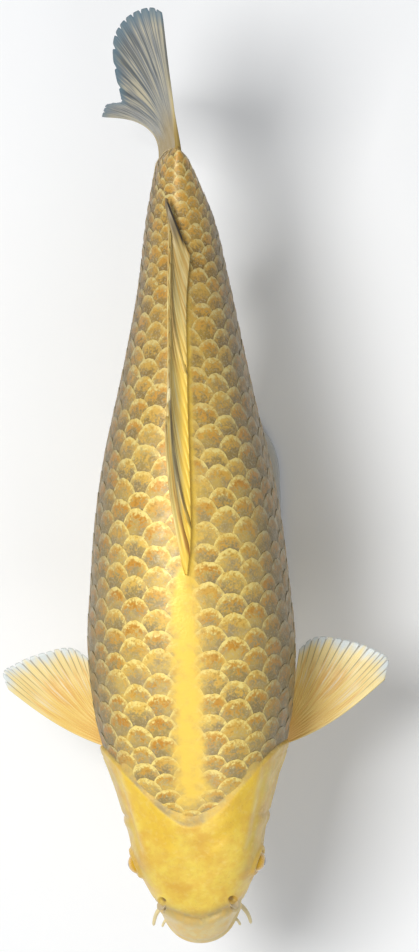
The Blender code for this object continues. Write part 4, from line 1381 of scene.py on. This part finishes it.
def make_barbels():
    """Each barbel leaves the lip straight out and bends round to its tip."""
    look = barbel_look()
    share = np.linspace(0.0, 1.0, 26)[:, None]
    for kind, (distance, degrees, tip, root_radius, tip_radius) in BARBELS.items():
        angle = math.radians(degrees)
        normal = outward(distance, angle)
        root = surface(distance, angle) - normal * BARBEL_SINK
        end = np.array(tip)
        bend = root + normal * np.linalg.norm(end - root) * 0.45
        path = root * (1 - share) ** 2 + bend * 2 * share * (1 - share) + end * share ** 2
        path = path + (0.0, 0.0, 0.0003) * np.sin(share * 16.0)
        flare = 1.0 + 0.7 * np.exp(-share[:, 0] / 0.06)
        radii = (root_radius + (tip_radius - root_radius) * share[:, 0]) * flare
        radii = radii * np.sqrt(np.maximum(1.0 - ramp(share[:, 0], 0.93, 1.0), 0.02))
        for word, side in SIDES.items():
            mesh = tube_mesh("%s_%s_feeler" % (kind, word), place(path * (side, 1, 1)), radii)
            add_piece(mesh, look, (kind + "_" + word,))


def make_nostril_flaps():
    """A thin curled flap of skin stands between the two openings of each nostril."""
    across, up = np.meshgrid(np.linspace(-1.0, 1.0, 29), np.linspace(0.0, 1.0, 11))
    x, distance, _ = np.mean(NOSTRILS, axis=0)
    turns = np.radians(np.linspace(0.0, 90.0, 91))
    angle = np.interp(-x, -surface(distance, turns)[:, 0], turns)
    normal, middle = outward(distance, angle), surface(distance, angle)
    tailward = unit(surface(distance + 0.001, angle) - middle)
    frill = 1.0 + 0.05 * np.sin(across * 8.0)
    wide = across * NOSTRIL_FLAP_HALF
    height = NOSTRIL_FLAP * up * (1.0 - 0.55 * across ** 2) * frill - 0.0006
    curl = 0.0016 * across ** 2 - 0.0010 * up ** 2 - 0.0004
    frame_of_flap = np.stack((np.cross(normal, tailward), normal, tailward))
    points = middle + vectors(wide, height, curl) @ frame_of_flap
    for word, side in SIDES.items():
        shaped = place(points * (side, 1, 1))
        shaped = shaped if side < 0 else shaped[:, ::-1]
        mesh = blade_mesh("nostril_flap_" + word, shaped, 0.0007 - 0.0003 * up,
                          {"along": vectors(up, up, up)})
        add_piece(mesh, bpy.data.materials["barbels"])


# ---- stand ----

def make_stand():
    """The solids keep their shapes and get finer finishes; soft cups meet the belly."""
    paint, steel, rubber = paint_look(), steel_look(), rubber_look()
    for name, look in (("stand_base", paint), ("stand_rod_front", steel), ("stand_rod_rear", steel)):
        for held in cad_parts[name].material_slots:
            held.material = look
    for name in ("stand_rod_front", "stand_rod_rear"):
        low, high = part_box(name)
        make_cup(name.replace("rod", "cup"), (low + high) / 2, high.z, rubber)


def make_cup(name, middle, top, look):
    """A rubber cup over a rod's end, whose rim is shaped to the belly that it carries."""
    turns = np.arange(CUP_SIDES) * math.tau / CUP_SIDES
    rings = []
    for radius, height, follows in CUP_PROFILE:
        x, y = middle.x + np.cos(turns) * radius, middle.y + np.sin(turns) * radius
        rings.append(vectors(x, y, (belly_height(x, y) if follows else top) + height))
    mesh = mesh_from(name, np.array(rings), ring_faces(len(rings), CUP_SIDES, closed=True))
    add_piece(mesh, look)


def belly_height(x, y):
    """Height of the belly's plain surface above the floor over the middle of the stand."""
    distance = y + SNOUT_TO_STAND
    depth = level(distance, WIDEST) - level(distance, BOTTOM)
    flat = np.abs(x / smooth(SECTIONS, WIDTH, distance)) ** 2
    return AXIS_HEIGHT + level(distance, WIDEST) - depth * np.sqrt(1.0 - flat)


# ---- stage ----

def make_floor():
    corners = np.array(((-1, -1, 0), (1, -1, 0), (1, 1, 0), (-1, 1, 0)))
    mesh = mesh_from("floor", corners * FLOOR_REACH, np.arange(4)[None])
    look = Look("floor", Roughness=0.7)
    look.colour = look.mix(look.noise(8.0), FLOOR_LOW, FLOOR_HIGH)
    mesh.materials.append(look.finish())
    add_object("floor", mesh)


def make_lights():
    scene = bpy.context.scene
    for name, location, size, power, tint in LAMPS:
        data = bpy.data.lights.new(name, "AREA")
        data.size = size
        data.energy = power
        data.color = tint
        lamp = add_object(name, data)
        lamp.location = location
        aim = Vector(LIT_POINT) - Vector(location)
        lamp.rotation_euler = aim.to_track_quat("-Z", "Y").to_euler()
        lamp.visible_camera = False
    scene.world = bpy.data.worlds.new("studio")
    scene.world.use_nodes = True
    sky = scene.world.node_tree.nodes["Background"]
    sky.inputs["Color"].default_value = SKY
    sky.inputs["Strength"].default_value = SKY_STRENGTH
    scene.view_settings.view_transform = "Standard"


def make_camera():
    """Looks almost straight down, rolled a little and leaning to the fish's left."""
    image_right = Vector((math.cos(CAMERA_TURN), -math.sin(CAMERA_TURN), 0.0))
    image_up = Vector((math.sin(CAMERA_TURN), math.cos(CAMERA_TURN), 0.0))
    up = Vector((0.0, 0.0, 1.0))
    back = up * math.cos(CAMERA_TILT) + image_right * math.sin(CAMERA_TILT)
    right = image_right * math.cos(CAMERA_TILT) - up * math.sin(CAMERA_TILT)
    data = bpy.data.cameras.new("camera")
    data.sensor_width = 36.0
    data.lens = data.sensor_width * CAMERA_DISTANCE / VIEW_LENGTH
    camera = add_object("camera", data)
    matrix = Matrix((right, image_up, back)).transposed().to_4x4()
    matrix.translation = CAMERA_LOOK + back * CAMERA_DISTANCE
    camera.matrix_world = matrix
    bpy.context.scene.camera = camera


make_camera()
make_lights()
make_floor()
scale_look()
make_skin()
make_scales()
make_fins()
make_dorsal_fin()
make_eyes()
make_barbels()
make_nostril_flaps()
make_stand()
